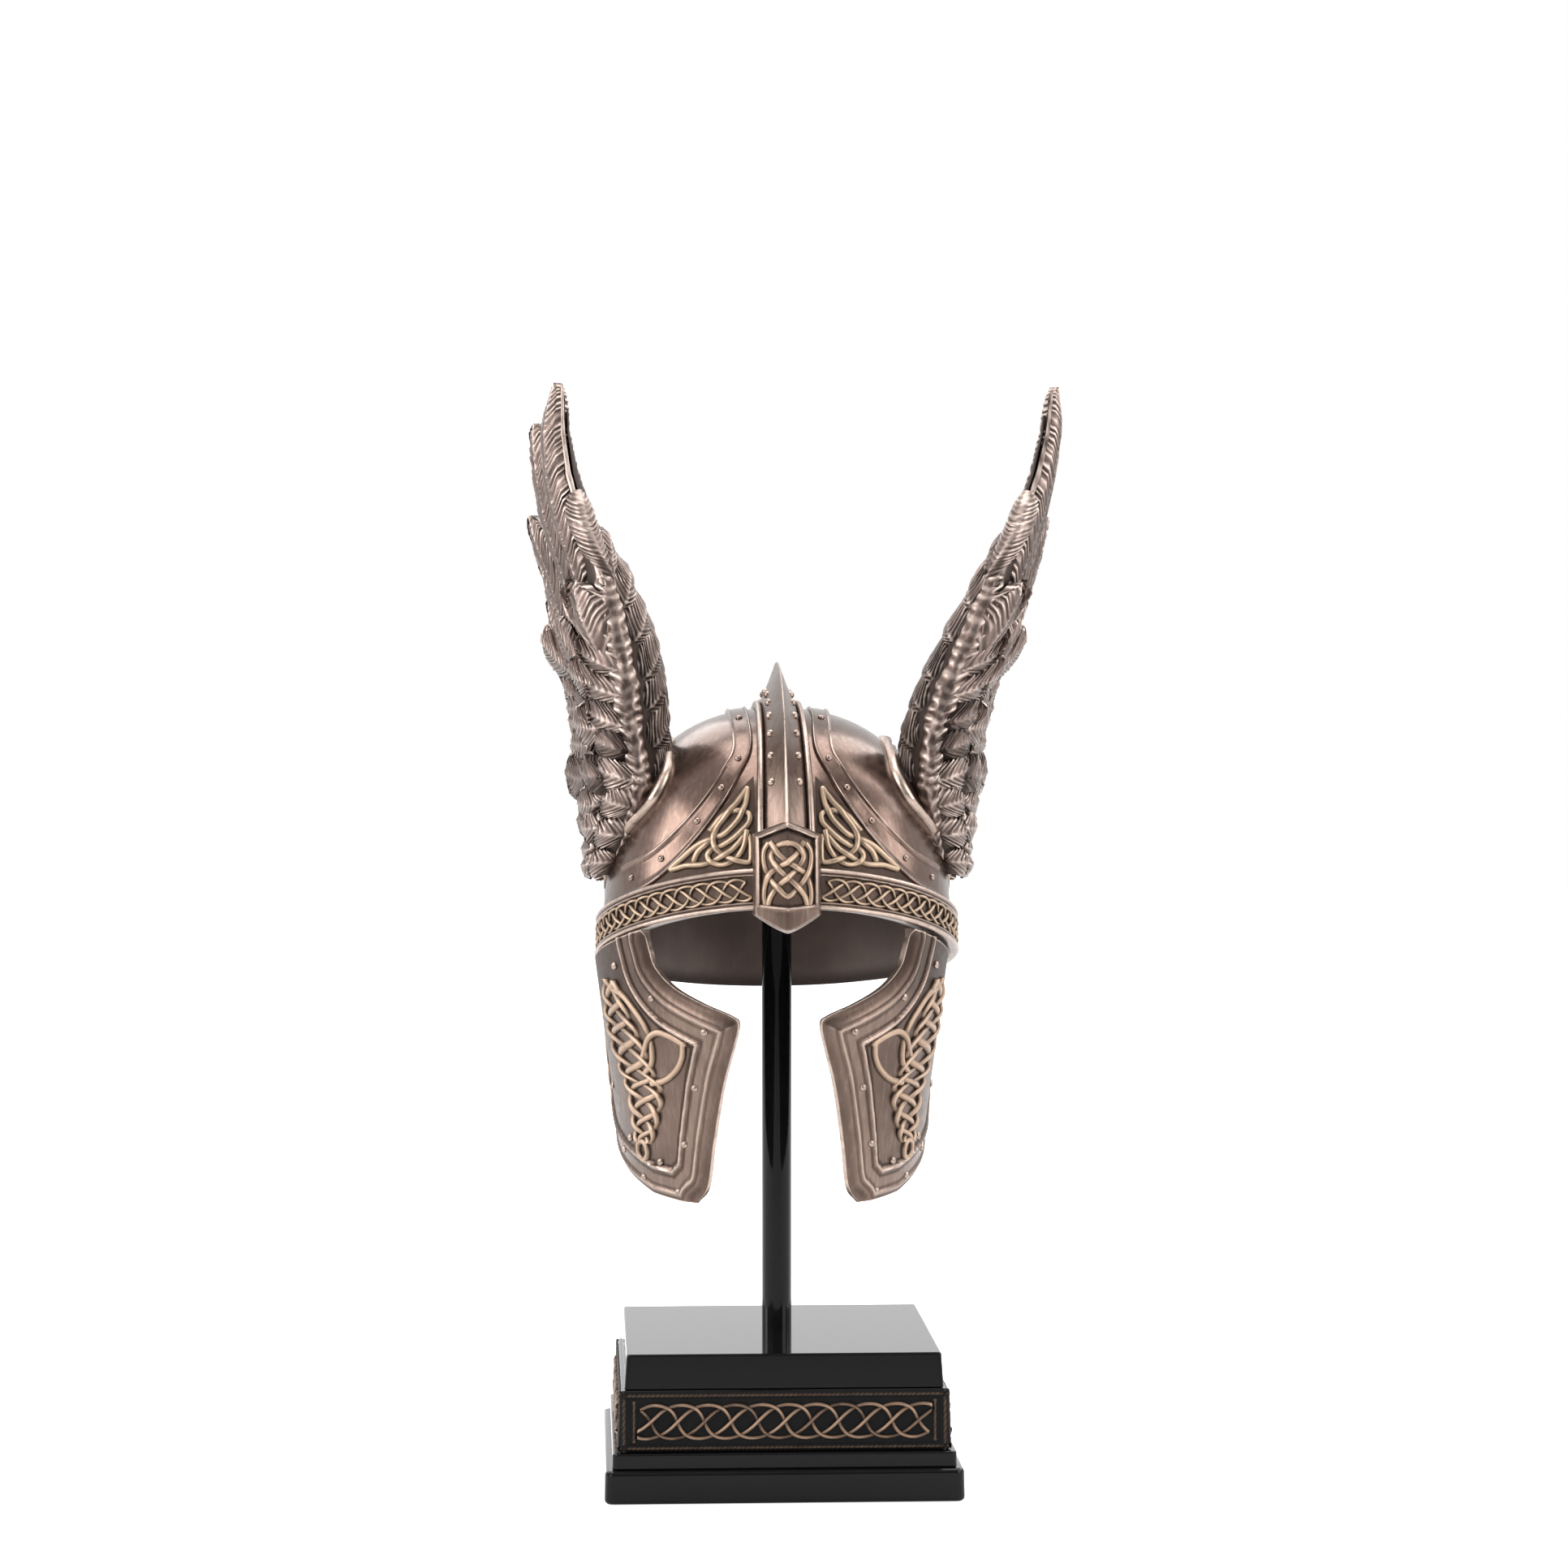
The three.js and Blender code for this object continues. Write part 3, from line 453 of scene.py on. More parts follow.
def patina_group():
    """Cast metal rubbed bright on its edges and dark in its hollows, with painted shade and painted
    highlights from the ground attribute: colour, roughness and height.
    """
    group, source, sink = node_group(
        "patina",
        [("Dark", "NodeSocketColor"), ("Body", "NodeSocketColor"), ("Bright", "NodeSocketColor"),
         ("Wear", "NodeSocketFloat"), ("Hollow", "NodeSocketFloat"), ("Mottle", "NodeSocketFloat"),
         ("Strokes", "NodeSocketFloat")],
        [("Colour", "NodeSocketColor"), ("Roughness", "NodeSocketFloat"), ("Height", "NodeSocketFloat")],
    )
    links = group.links
    where = group.nodes.new("ShaderNodeTexCoord").outputs["Object"]
    worn = group.nodes.new("ShaderNodeAttribute")
    worn.attribute_name = "worn"
    ground = group.nodes.new("ShaderNodeAttribute")
    ground.attribute_name = "ground"
    broad = noise(group, where, 45, 3)
    fine = noise(group, where, 420, 5, 0.65)
    stretch = group.nodes.new("ShaderNodeMapping")
    fill(stretch, {"Scale": (1.0, 1.0, 0.12), "Rotation": (0.5, 0.3, 0.7)})
    links.new(where, stretch.inputs["Vector"])
    strokes = noise(group, stretch.outputs["Vector"], 900, 3, 0.6)
    edge = ramp(group, worn.outputs["Fac"], 0.03, 0.26)
    edge = math_node(group, "MULTIPLY", edge, source.outputs["Wear"])
    edge = math_node(group, "MULTIPLY", edge, ramp(group, fine, 0.28, 0.62, 0.45, 1.0))
    patina_and_painted_shade = ramp(group, worn.outputs["Fac"], -0.02, -0.2)
    patina_and_painted_shade = math_node(group, "MULTIPLY", patina_and_painted_shade, source.outputs["Hollow"])
    # The ground attribute adds painted shade where it is positive.
    patina_and_painted_shade = math_node(group, "MAXIMUM", patina_and_painted_shade, ground.outputs["Fac"])
    patch = ramp(group, broad, 0.36, 0.66)
    patch = math_node(group, "MULTIPLY", patch, source.outputs["Mottle"])
    body = mix_colour(group, patch, source.outputs["Body"], source.outputs["Dark"])
    brushed = math_node(group, "MULTIPLY", ramp(group, strokes, 0.45, 0.75), source.outputs["Strokes"])
    body = mix_colour(group, brushed, body, source.outputs["Bright"])
    body = mix_colour(group, patina_and_painted_shade, body, source.outputs["Dark"])
    body = mix_colour(group, edge, body, source.outputs["Bright"])
    # Where the ground attribute is negative it paints a highlight in the bright colour.
    lit = math_node(group, "MULTIPLY", ground.outputs["Fac"], -1.0)
    body = mix_colour(group, math_node(group, "MAXIMUM", lit, 0.0), body, source.outputs["Bright"])
    links.new(body, sink.inputs["Colour"])
    grain = ramp(group, fine, 0.3, 0.7, 0.0, 0.09)
    dull = math_node(group, "MULTIPLY", patina_and_painted_shade, 0.25)
    links.new(math_node(group, "ADD", grain, dull), sink.inputs["Roughness"])
    cast = math_node(group, "MULTIPLY", fine, 0.5)
    scored = math_node(group, "MULTIPLY", strokes, 0.35)
    height = math_node(group, "ADD", cast, scored)
    links.new(math_node(group, "ADD", height, broad), sink.inputs["Height"])
    return group


PATINA = patina_group()


def patina_material(name, dark, body, bright, metal, rough, wear=1.0, hollow=1.0, mottle=0.3, strokes=0.12,
                    relief=0.0003):
    material = bpy.data.materials.new(name)
    material.use_nodes = True
    tree = material.node_tree
    shader = tree.nodes["Principled BSDF"]
    skin = tree.nodes.new("ShaderNodeGroup")
    skin.node_tree = PATINA
    fill(skin, {"Dark": (*dark, 1), "Body": (*body, 1), "Bright": (*bright, 1)})
    fill(skin, {"Wear": wear, "Hollow": hollow, "Mottle": mottle, "Strokes": strokes})
    tree.links.new(skin.outputs["Colour"], shader.inputs["Base Color"])
    tree.links.new(math_node(tree, "ADD", skin.outputs["Roughness"], rough), shader.inputs["Roughness"])
    shader.inputs["Metallic"].default_value = metal
    if relief:
        raised = tree.nodes.new("ShaderNodeBump")
        fill(raised, {"Strength": 0.35, "Distance": relief})
        tree.links.new(skin.outputs["Height"], raised.inputs["Height"])
        tree.links.new(raised.outputs["Normal"], shader.inputs["Normal"])
    return material


# Finishes: dark, body and bright colours, share of metal, roughness
BRONZE = patina_material(
    "bronze", (0.025, 0.0145, 0.0105), (0.155, 0.107, 0.086), (0.53, 0.42, 0.355), 0.86, 0.27)
SMOOTH_BRONZE = patina_material(
    "smooth bronze", (0.045, 0.028, 0.022), (0.138, 0.091, 0.073), (0.36, 0.275, 0.235), 0.92, 0.17,
    mottle=0.1, strokes=0.18, relief=0.00005)
FEATHER_BRONZE = patina_material(
    "feather bronze", (0.019, 0.012, 0.0095), (0.142, 0.101, 0.087), (0.58, 0.475, 0.42), 0.85, 0.3,
    hollow=1.4, mottle=0.25)
INSIDE_BRONZE = patina_material(
    "inside bronze", (0.07, 0.052, 0.046), (0.19, 0.145, 0.128), (0.32, 0.25, 0.22), 0.5, 0.38, strokes=0.06)
GILT = patina_material(
    "gilt", (0.045, 0.028, 0.018), (0.255, 0.178, 0.12), (0.54, 0.4, 0.285), 0.72, 0.34)
TAN_GILT = patina_material(
    "tan gilt", (0.045, 0.028, 0.018), (0.28, 0.19, 0.132), (0.58, 0.42, 0.31), 0.72, 0.34)
COPPER_RUB = patina_material(
    "rubbed copper", (0.01, 0.008, 0.007), (0.17, 0.105, 0.07), (0.4, 0.27, 0.185), 0.75, 0.35)
BLACK_RELIEF = patina_material(
    "black relief", (0.005, 0.005, 0.005), (0.008, 0.0075, 0.0075), (0.22, 0.14, 0.09), 0.4, 0.42,
    wear=0.8, strokes=0.0)
LACQUER = patina_material(
    "black lacquer", (0.004, 0.004, 0.0045), (0.005, 0.005, 0.0055), (0.009, 0.009, 0.01), 0.0, 0.06,
    wear=0.4, strokes=0.0, relief=0)
for gloss, level in ((LACQUER, 0.08), (BLACK_RELIEF, 0.14)):
    fill(gloss.node_tree.nodes["Principled BSDF"], {"Specular IOR Level": level})
coating = {"Coat Weight": 1.0, "Coat IOR": 1.15, "Coat Roughness": 0.05}
fill(LACQUER.node_tree.nodes["Principled BSDF"], coating)


# Stand
def rounded(bm, edges, offset, segments):
    bmesh.ops.bevel(
        bm, geom=edges, offset=offset, segments=segments, profile=0.5, affect="EDGES", material=-1)


def tier_piece(name, tier):
    bm = bmesh.new()
    bmesh.ops.create_cube(bm, size=1)
    for v in bm.verts:
        width = tier["high"] if v.co.z > 0 else tier["low"]
        v.co = Vector((v.co.x * width, v.co.y * width, tier["to"] if v.co.z > 0 else tier["from"]))
    upright = [e for e in bm.edges if abs(e.verts[0].co.z - e.verts[1].co.z) > 1]
    rounded(bm, upright, tier["corner"], 6)
    level = [e for e in bm.edges if abs(e.verts[0].co.z - e.verts[1].co.z) < 0.01
             and len(e.link_faces) == 2 and e.calc_face_angle(0) > 0.7]
    rounded(bm, level, tier["edge"], 4)
    finish_piece(bm, name, LACQUER, name, smooth_angle=6, merge=0.001)


def rod_piece():
    bm = bmesh.new()
    bmesh.ops.create_cone(bm, cap_ends=True, segments=64, radius1=ROD["radius"], radius2=ROD["radius"],
                          depth=ROD["to"] - ROD["from"],
                          matrix=Matrix.Translation((0, 0, (ROD["to"] + ROD["from"]) / 2)))
    finish_piece(bm, "rod", LACQUER, "rod", merge=0.001)


def frieze_place(turn, x, z, lift):
    tier = TIERS["frieze"]
    half = lerp(tier["low"], tier["high"], (z - tier["from"]) / (tier["to"] - tier["from"])) / 2
    spot = Vector((x, -half - lift, z))
    return Matrix.Rotation(turn * math.pi / 2, 3, "Z") @ spot


def frieze_relief(half_run, x, z):
    tier = TIERS["frieze"]
    rim = min(z - tier["from"], tier["to"] - z)
    post = half_run - abs(x)
    line = max(bump(rim, 1.2, 0.75), bump(post, 1.0, 0.8), bump(post, 3.6, 0.5) if 2.4 < rim else 0)
    grain = 0.1 * math.sin(x * 7.1 + z * 4.3) * math.sin(z * 8 + x * 2)
    return FRIEZE["lift"] * 0.2 + FRIEZE["lift"] * line + grain


def frieze_face(turn):
    tier = TIERS["frieze"]
    middle = (tier["from"] + tier["to"]) / 2
    half_run = tier["high"] / 2 + FRIEZE["overhang"]
    run = half_run - FRIEZE["post"]

    def ground(u, w):
        x = lerp(-half_run, half_run, u)
        z = lerp(tier["from"] + FRIEZE["margin"], tier["to"] - FRIEZE["margin"], w)
        return frieze_place(turn, x, z, frieze_relief(half_run, x, z))

    def drawing(x, y, lift):
        return frieze_place(turn, clamp(x - run, -run, run), middle + y, FRIEZE["seat"] + lift)

    bm = bmesh.new()
    sheet(bm, 200, 44, ground)
    finish_piece(bm, "frieze_ground_%d" % turn, BLACK_RELIEF, None)
    bm = bmesh.new()
    plait(bm, run * 2, run * 2 / FRIEZE["waves"], FRIEZE["half"], FRIEZE["strand"], FRIEZE["height"], drawing,
          lean=0.3, arch=0.32)
    finish_piece(bm, "frieze_interlace_%d" % turn, COPPER_RUB, None)


# Bowl
def dome_spot(lift):
    def spot(u, w):
        angle = (u - 0.5) * 2 * math.pi
        base = rim_height(-BOWL["half_depth"] * math.cos(angle))
        up = math.sin(w * math.pi / 2) ** 0.85
        return bowl_point(angle, min(lerp(base, CROWN, up), CROWN), lift)
    return spot


def bowl_pieces():
    bm = bmesh.new()
    sheet(bm, 144, 48, dome_spot(0))
    finish_piece(bm, "bowl", SMOOTH_BRONZE, "bowl")
    bm = bmesh.new()
    sheet(bm, 144, 48, dome_spot(-BOWL["wall"]))
    sheet(bm, 144, 2, lambda u, w: dome_spot(-BOWL["wall"] * w)(u, 0))
    finish_piece(bm, "bowl_inside", INSIDE_BRONZE, "bowl")


# Brow band: height up the band, reach from the bowl, painted shading: painted shade on the floor under the
# strands and in the grooves, a painted highlight on the rims where negative
BAND_PROFILE = [
    (0, 0.1, 0), (0, 1.5, 0), (0.2, 2.2, 0), (0.6, 2.55, -0.3), (1.0, 2.5, -0.3), (1.3, 2.2, 0),
    (1.5, 1.9, 0.5), (1.75, 1.95, 0), (1.95, 2.05, 0), (2.15, 1.85, 0.2), (2.35, 1.35, 1), (2.8, 1.25, 1),
    (5.4, 1.25, 1), (8.2, 1.25, 1), (8.5, 1.35, 1), (8.75, 1.75, 0.2), (9.0, 1.95, 0), (9.2, 1.85, 0.2),
    (9.4, 1.75, 0.6), (9.7, 2.1, 0), (10.1, 2.3, -0.2), (10.5, 2.1, 0), (10.8, 1.4, 0), (10.8, 0.1, 0),
]


def band_piece():
    bm = bmesh.new()

    def spot(u, w):
        up, reach, _ = row_at(BAND_PROFILE, w)
        return band_point((u - 0.5) * 2 * math.pi, up, reach)

    # The third column, scaled by the band's dark value, goes in as painted shading.
    sheet(bm, 220, len(BAND_PROFILE) - 1, spot, lambda u, w: BAND["dark"] * row_at(BAND_PROFILE, w)[2])
    finish_piece(bm, "brow_band", BRONZE, "brow_band")


# Comb over the crown
def comb_path(turn):
    if turn > math.pi:
        return Vector((0, BOWL["half_depth"], BOWL["waist"] - (turn - math.pi) * BOWL["rise"]))
    power = 2 / BOWL["roundness"]
    forward = math.cos(turn)
    y = -math.copysign(BOWL["half_depth"] * abs(forward) ** power, forward)
    return Vector((0, y, BOWL["waist"] + BOWL["rise"] * math.sin(turn) ** power))


def comb_half(turn):
    return lerp(COMB["half_front"], COMB["half_top"], math.sin(min(turn, math.pi)) ** 2)


def comb_ridge(turn):
    return lerp(COMB["ridge_end"], COMB["ridge_top"], math.sin(min(turn, math.pi)) ** 1.6)


def comb_point(turn, across, height):
    middle = comb_path(turn)
    normal = bowl_normal(middle)
    return settled(Vector((across * comb_half(turn), middle.y, middle.z)), normal) + normal * height


# Across from the middle of the comb, share of the ridge height, height of its own
COMB_PROFILE = [
    (0, 1, 0.1), (0.03, 0.985, 0.05), (0.08, 0.9, 0), (0.16, 0.79, 0), (0.3, 0.59, 0.1), (0.45, 0.38, 0.35),
    (0.6, 0.18, 0.75), (0.69, 0.05, 1.05), (0.73, 0, 1.1), (0.77, 0, 1.75), (0.82, 0, 2.15), (0.9, 0, 2.2),
    (0.96, 0, 1.95), (1, 0, 1.3), (1, 0, 0.1),
]
COMB_LINE = [(-a, r, h) for a, r, h in reversed(COMB_PROFILE[1:])] + COMB_PROFILE


def plaque_top(x):
    return lerp(PLAQUE["peak"], PLAQUE["corner"], min(abs(x) / PLAQUE["half"], 1))


def comb_piece():
    bm = bmesh.new()
    end = math.pi + (BOWL["waist"] - COMB["back_end"]) / BOWL["rise"]

    def spot(u, w):
        across, ridge, own = row_at(COMB_LINE, w)
        z = plaque_top(across * COMB["half_front"]) - 0.8 - 2.6 * ridge
        start = math.asin(((z - BOWL["waist"]) / BOWL["rise"]) ** (BOWL["roundness"] / 2))
        turn = lerp(start, end, u)
        return comb_point(turn, across, comb_ridge(turn) * ridge + own)

    sheet(bm, 110, len(COMB_LINE) - 1, spot)
    for k in range(COMB["rivets"]):
        turn = COMB["first_rivet"] + COMB["rivet_step"] * k
        for side in (-1, 1):
            seat = comb_point(turn, side * 0.5, comb_ridge(turn) * 0.31 + 0.55)
            lean = (bowl_normal(comb_path(turn)) + Vector((side * 1.3, 0, 0))).normalized()
            rivet(bm, seat, lean, 1.1, 0.9)
    finish_piece(bm, "comb", BRONZE, "comb")


# Front plaque
def plaque_point(u, z, lift):
    x = u * PLAQUE["half"]
    roof = PLAQUE["roof"] * (1 - abs(u))
    spot = front_point(x, max(z, BOWL["waist"]), 0)
    return Vector((spot.x, spot.y - PLAQUE["back"] - roof - lift, z))


def plaque_foot(u):
    return lerp(PLAQUE["tip"], PLAQUE["shoulder"], abs(u) ** 1.3)


# The second value is painted shading: painted shade over the recessed window and at the foot of its frame.
def plaque_height(u, share):
    x = (1 - abs(u)) * PLAQUE["half"]
    z = lerp(plaque_foot(u), plaque_top(u * PLAQUE["half"]), share)
    top = plaque_top(u * PLAQUE["half"]) - z
    low = z - lerp(PLAQUE["tip"] + 5.0, PLAQUE["shoulder"] + 1.2, abs(u) ** 1.2)
    inside = min(x, top, low)
    frame_rim = smooth(0, 0.7, min(x, top, z - plaque_foot(u)))
    window = smooth(1.5, 2.2, inside)
    inner_line = 0.25 * bump(inside, 1.2, 0.45)
    return 0.6 + 1.7 * frame_rim - 1.3 * window + inner_line, 0.6 * window + 0.3 * bump(inside, 2.0, 0.5)


def plaque_piece():
    bm = bmesh.new()

    def level(across, w):
        return lerp(plaque_foot(across), plaque_top(across * PLAQUE["half"]), w)

    def top(u, w):
        across = u * 2 - 1
        return plaque_point(across, level(across, w), plaque_height(across, w)[0])

    def under(u, w):
        across = u * 2 - 1
        return plaque_point(across, level(across, w), -PLAQUE["roof"] * (1 - abs(across)) - PLAQUE["under"])

    slab(bm, 60, 90, top, under, lambda u, w: plaque_height(u * 2 - 1, w)[1])
    finish_piece(bm, "front_plaque", BRONZE, "front_plaque")


# Cheek guards
def guard_point(side, degrees, z, lift):
    size = 1 - (GUARD["level"] - z) * GUARD["taper"]
    angle = math.radians(degrees)
    x = GUARD["half_width"] * size * math.sin(angle)
    y = -GUARD["half_depth"] * size * math.cos(angle)
    spot = Vector((x, y, z)) + outward(x, y, GUARD) * lift
    spot.x = spot.x * side + GUARD["shift"][side]
    return spot


GUARD_FRONT = [Vector((r[0], r[2])) for r in GUARD_ROWS]
GUARD_BACK = [Vector((r[1], r[3])) for r in GUARD_ROWS]
DEGREE = math.radians(1) * 50


def guard_flat(across, down):
    front, back = curve_through(GUARD_FRONT, down), curve_through(GUARD_BACK, down)
    return lerp(front, back, across)


def to_plane(p):
    return Vector((p.x * DEGREE, p.y))


GUARD_FRONT_EDGE = [to_plane(guard_flat(0, i / 60)) for i in range(3, 61)]
GUARD_FAR_EDGE = [to_plane(guard_flat(i / 12, 1)) for i in range(13)]
GUARD_FAR_EDGE += [to_plane(guard_flat(1, i / 60)) for i in range(59, 2, -1)]


def edge_distance(p, edge):
    best = 1e9
    for a, b in zip(edge, edge[1:]):
        run = b - a
        t = clamp((p - a).dot(run) / max(run.length_squared, 1e-9))
        best = min(best, (p - a - run * t).length_squared)
    return math.sqrt(best)


def guard_height(d):
    """Height over the guard's skin at a distance in from the lip: lip, ridge, riveted border, line, field."""
    lip = -1.5 * smooth(*GUARD["round"], d) ** 1.3
    ridge = 0.5 * bump(d, GUARD["ridge"], 0.75)
    line = 0.75 * bump(d, GUARD["line"], 0.85)
    field = 0.25 * smooth(GUARD["line"], GUARD["line"] + 1.2, d)
    return 0.45 + lip + ridge + line - field


# Painted shading on a guard: painted shade in the creases beside the ridge and the line, over the field and
# on the rounded lip, painted highlights on the crests of the ridge and the line.
def guard_painted_shading(d):
    ridge, line = GUARD["ridge"], GUARD["line"]
    groove_shade = 0.8 * bump(abs(d - line), 1.3, 0.6) + 0.55 * bump(abs(d - ridge), 1.1, 0.5)
    field = 0.3 * smooth(line + 0.6, line + 1.5, d)
    lip = 0.4 * smooth(0.2, -1.8, d)
    return groove_shade + field - 0.06 + lip - 0.3 * bump(d, line, 0.45) - 0.3 * bump(d, ridge, 0.4)


GUARD_ACROSS, GUARD_DOWN = 120, 150
GUARD_TABLE = {}
for i in range(GUARD_ACROSS + 1):
    for j in range(GUARD_DOWN + 1):
        flat = to_plane(guard_flat(i / GUARD_ACROSS, j / GUARD_DOWN))
        from_front = edge_distance(flat, GUARD_FRONT_EDGE) - GUARD["lip"]
        GUARD_TABLE[i, j] = min(from_front, edge_distance(flat, GUARD_FAR_EDGE))


def guard_at(u, w):
    return GUARD_TABLE[int(round(u * GUARD_ACROSS)), int(round(w * GUARD_DOWN))]


GUARD_RIVETS = [
    (62.9, 137.9), (44.8, 130.3), (24.9, 122.2), (29.7, 107.4), (35.5, 92.3), (40.1, 79.4), (59.3, 82.1),
    (75.3, 88.2), (66.7, 92.0), (83.0, 104.7), (48.0, 87.0), (98.0, 122.0),
]


def guard_piece(name, side):
    bm = bmesh.new()

    def top(u, w):
        flat = guard_flat(u, w)
        return guard_point(side, flat.x, flat.y, guard_height(guard_at(u, w)))

    def under(u, w):
        flat = guard_flat(u, w)
        wall = GUARD["wall"] - 0.9 * smooth(*GUARD["round"], guard_at(u, w))
        return guard_point(side, flat.x, flat.y, -wall)

    # Painted shade also falls over the upper part of the guard, under the brow band.
    def painted_shading(u, w):
        return guard_painted_shading(guard_at(u, w)) + 0.5 * smooth(0.45, 0.2, w)

    slab(bm, GUARD_ACROSS, GUARD_DOWN, top, under, painted_shading)
    for degrees, z in GUARD_RIVETS:
        spot = guard_point(side, degrees, z, 0.4)
        normal = (guard_point(side, degrees, z, 1.4) - spot).normalized()
        rivet(bm, spot, normal, 1.05, 0.8 if degrees < 80 else 0.4)
    finish_piece(bm, "cheek_guard_" + name, BRONZE, "cheek_guard_" + name)


# Riveted hems and wing plates
def hem_piece(name, side):
    path = [front_point(side * x, z, 0, behind) for x, z, behind in HEM_PATH]
    profile = HEM_PROFILE
    if side > 0:
        profile = [(-a, h) for a, h in reversed(profile)]
    bm = bmesh.new()

    def point(u, across, height):
        middle = curve_through(path, u)
        normal = bowl_normal(middle)
        ahead = (curve_through(path, min(u + 0.004, 1)) - curve_through(path, max(u - 0.004, 0))).normalized()
        aside = ahead.cross(normal).normalized()
        half = 2.6 + 2.2 * max(0.0, 1 - u / 0.36) ** 1.2 + 1.5 * max(0.0, (u - 0.64) / 0.36)
        return settled(middle + aside * across * half, normal) + normal * height

    sheet(bm, 150, len(profile) - 1, lambda u, w: point(u, *row_at(profile, w)))
    for u in HEM_RIVETS:
        normal = bowl_normal(curve_through(path, u))
        rivet(bm, point(u, 0, 0.75), normal, 0.95, 0.75)
    finish_piece(bm, "hem_" + name, SMOOTH_BRONZE, "hem_" + name)


def plate_piece(name, side):
    bm = bmesh.new()
    rows = [Vector(r) for r in PLATE_ROWS]

    def place(u, w, lift):
        row = curve_through(rows, w)
        return side_point(side, lerp(-row.y, row.y, u), row.x, lift)

    def height(u, w):
        z, reach = curve_through(rows, w)
        d = min((1 - abs(u * 2 - 1)) * reach, (z - PLATE_ROWS[0][0]) * 1.2, (PLATE_ROWS[-1][0] - z) * 1.2)
        rims = 0.9 + 1.1 * bump(d, 1.1, 1.2) + 0.35 * bump(d, 3.0, 0.6)
        return rims * lerp(0.15, 1, smooth(158, 164, z))

    slab(bm, 70, 90, lambda u, w: place(u, w, height(u, w)), lambda u, w: place(u, w, 0.05))
    finish_piece(bm, "wing_plate_" + name, BRONZE, "wing_plate_" + name)


# Wings
def wing_point(name, side, z, w, lift):
    rows = WING_ROWS[name]
    lead = Vector((between(rows, z, 1), between(rows, z, 2), z))
    trail = Vector((between(rows, z, 3), between(rows, z, 4), z))
    chord = (trail - lead).normalized()
    out = Vector((chord.y, -chord.x, 0))
    spot = lead + chord * w + out * lift
    spot.x *= side
    return spot


def wing_chord(name, z):
    rows = WING_ROWS[name]
    return math.hypot(between(rows, z, 3) - between(rows, z, 1), between(rows, z, 4) - between(rows, z, 2))


def wing_bulge(name, z, share, face):
    depth = between(WING_ROWS[name], z, 5 if face > 0 else 6)
    s = clamp(share)
    return face * (0.35 + depth * 3.5 * math.sqrt(s) * (1 - s) ** 2)


def nose_point(name, side, z, q, rise):
    """A spot on the rounded front of a wing: q runs round it, above nought on the outer side."""
    depth = 3.5 * max(between(WING_ROWS[name], z, 5 if q > 0 else 6), 0.9)
    chord = wing_chord(name, z)
    share = min((q / depth) ** 2, 0.3)
    slope = 2 * chord * q / depth ** 2
    lean = 1 / math.hypot(1, slope)
    lift = q * (1 - share) ** 2 + 0.35 * clamp(q, -1, 1)
    return wing_point(name, side, z, chord * share - rise * lean, lift + rise * slope * lean)


def vane(u, end):
    """Half width of a feather as a share: a narrow quill, a full vane and a rounded tip."""
    grow = 0.4 + 0.6 * smooth(0, 0.5, u)
    past = clamp((u - 0.6) / 0.4)
    return grow * max(0.01, 1 - past ** end) ** 0.5


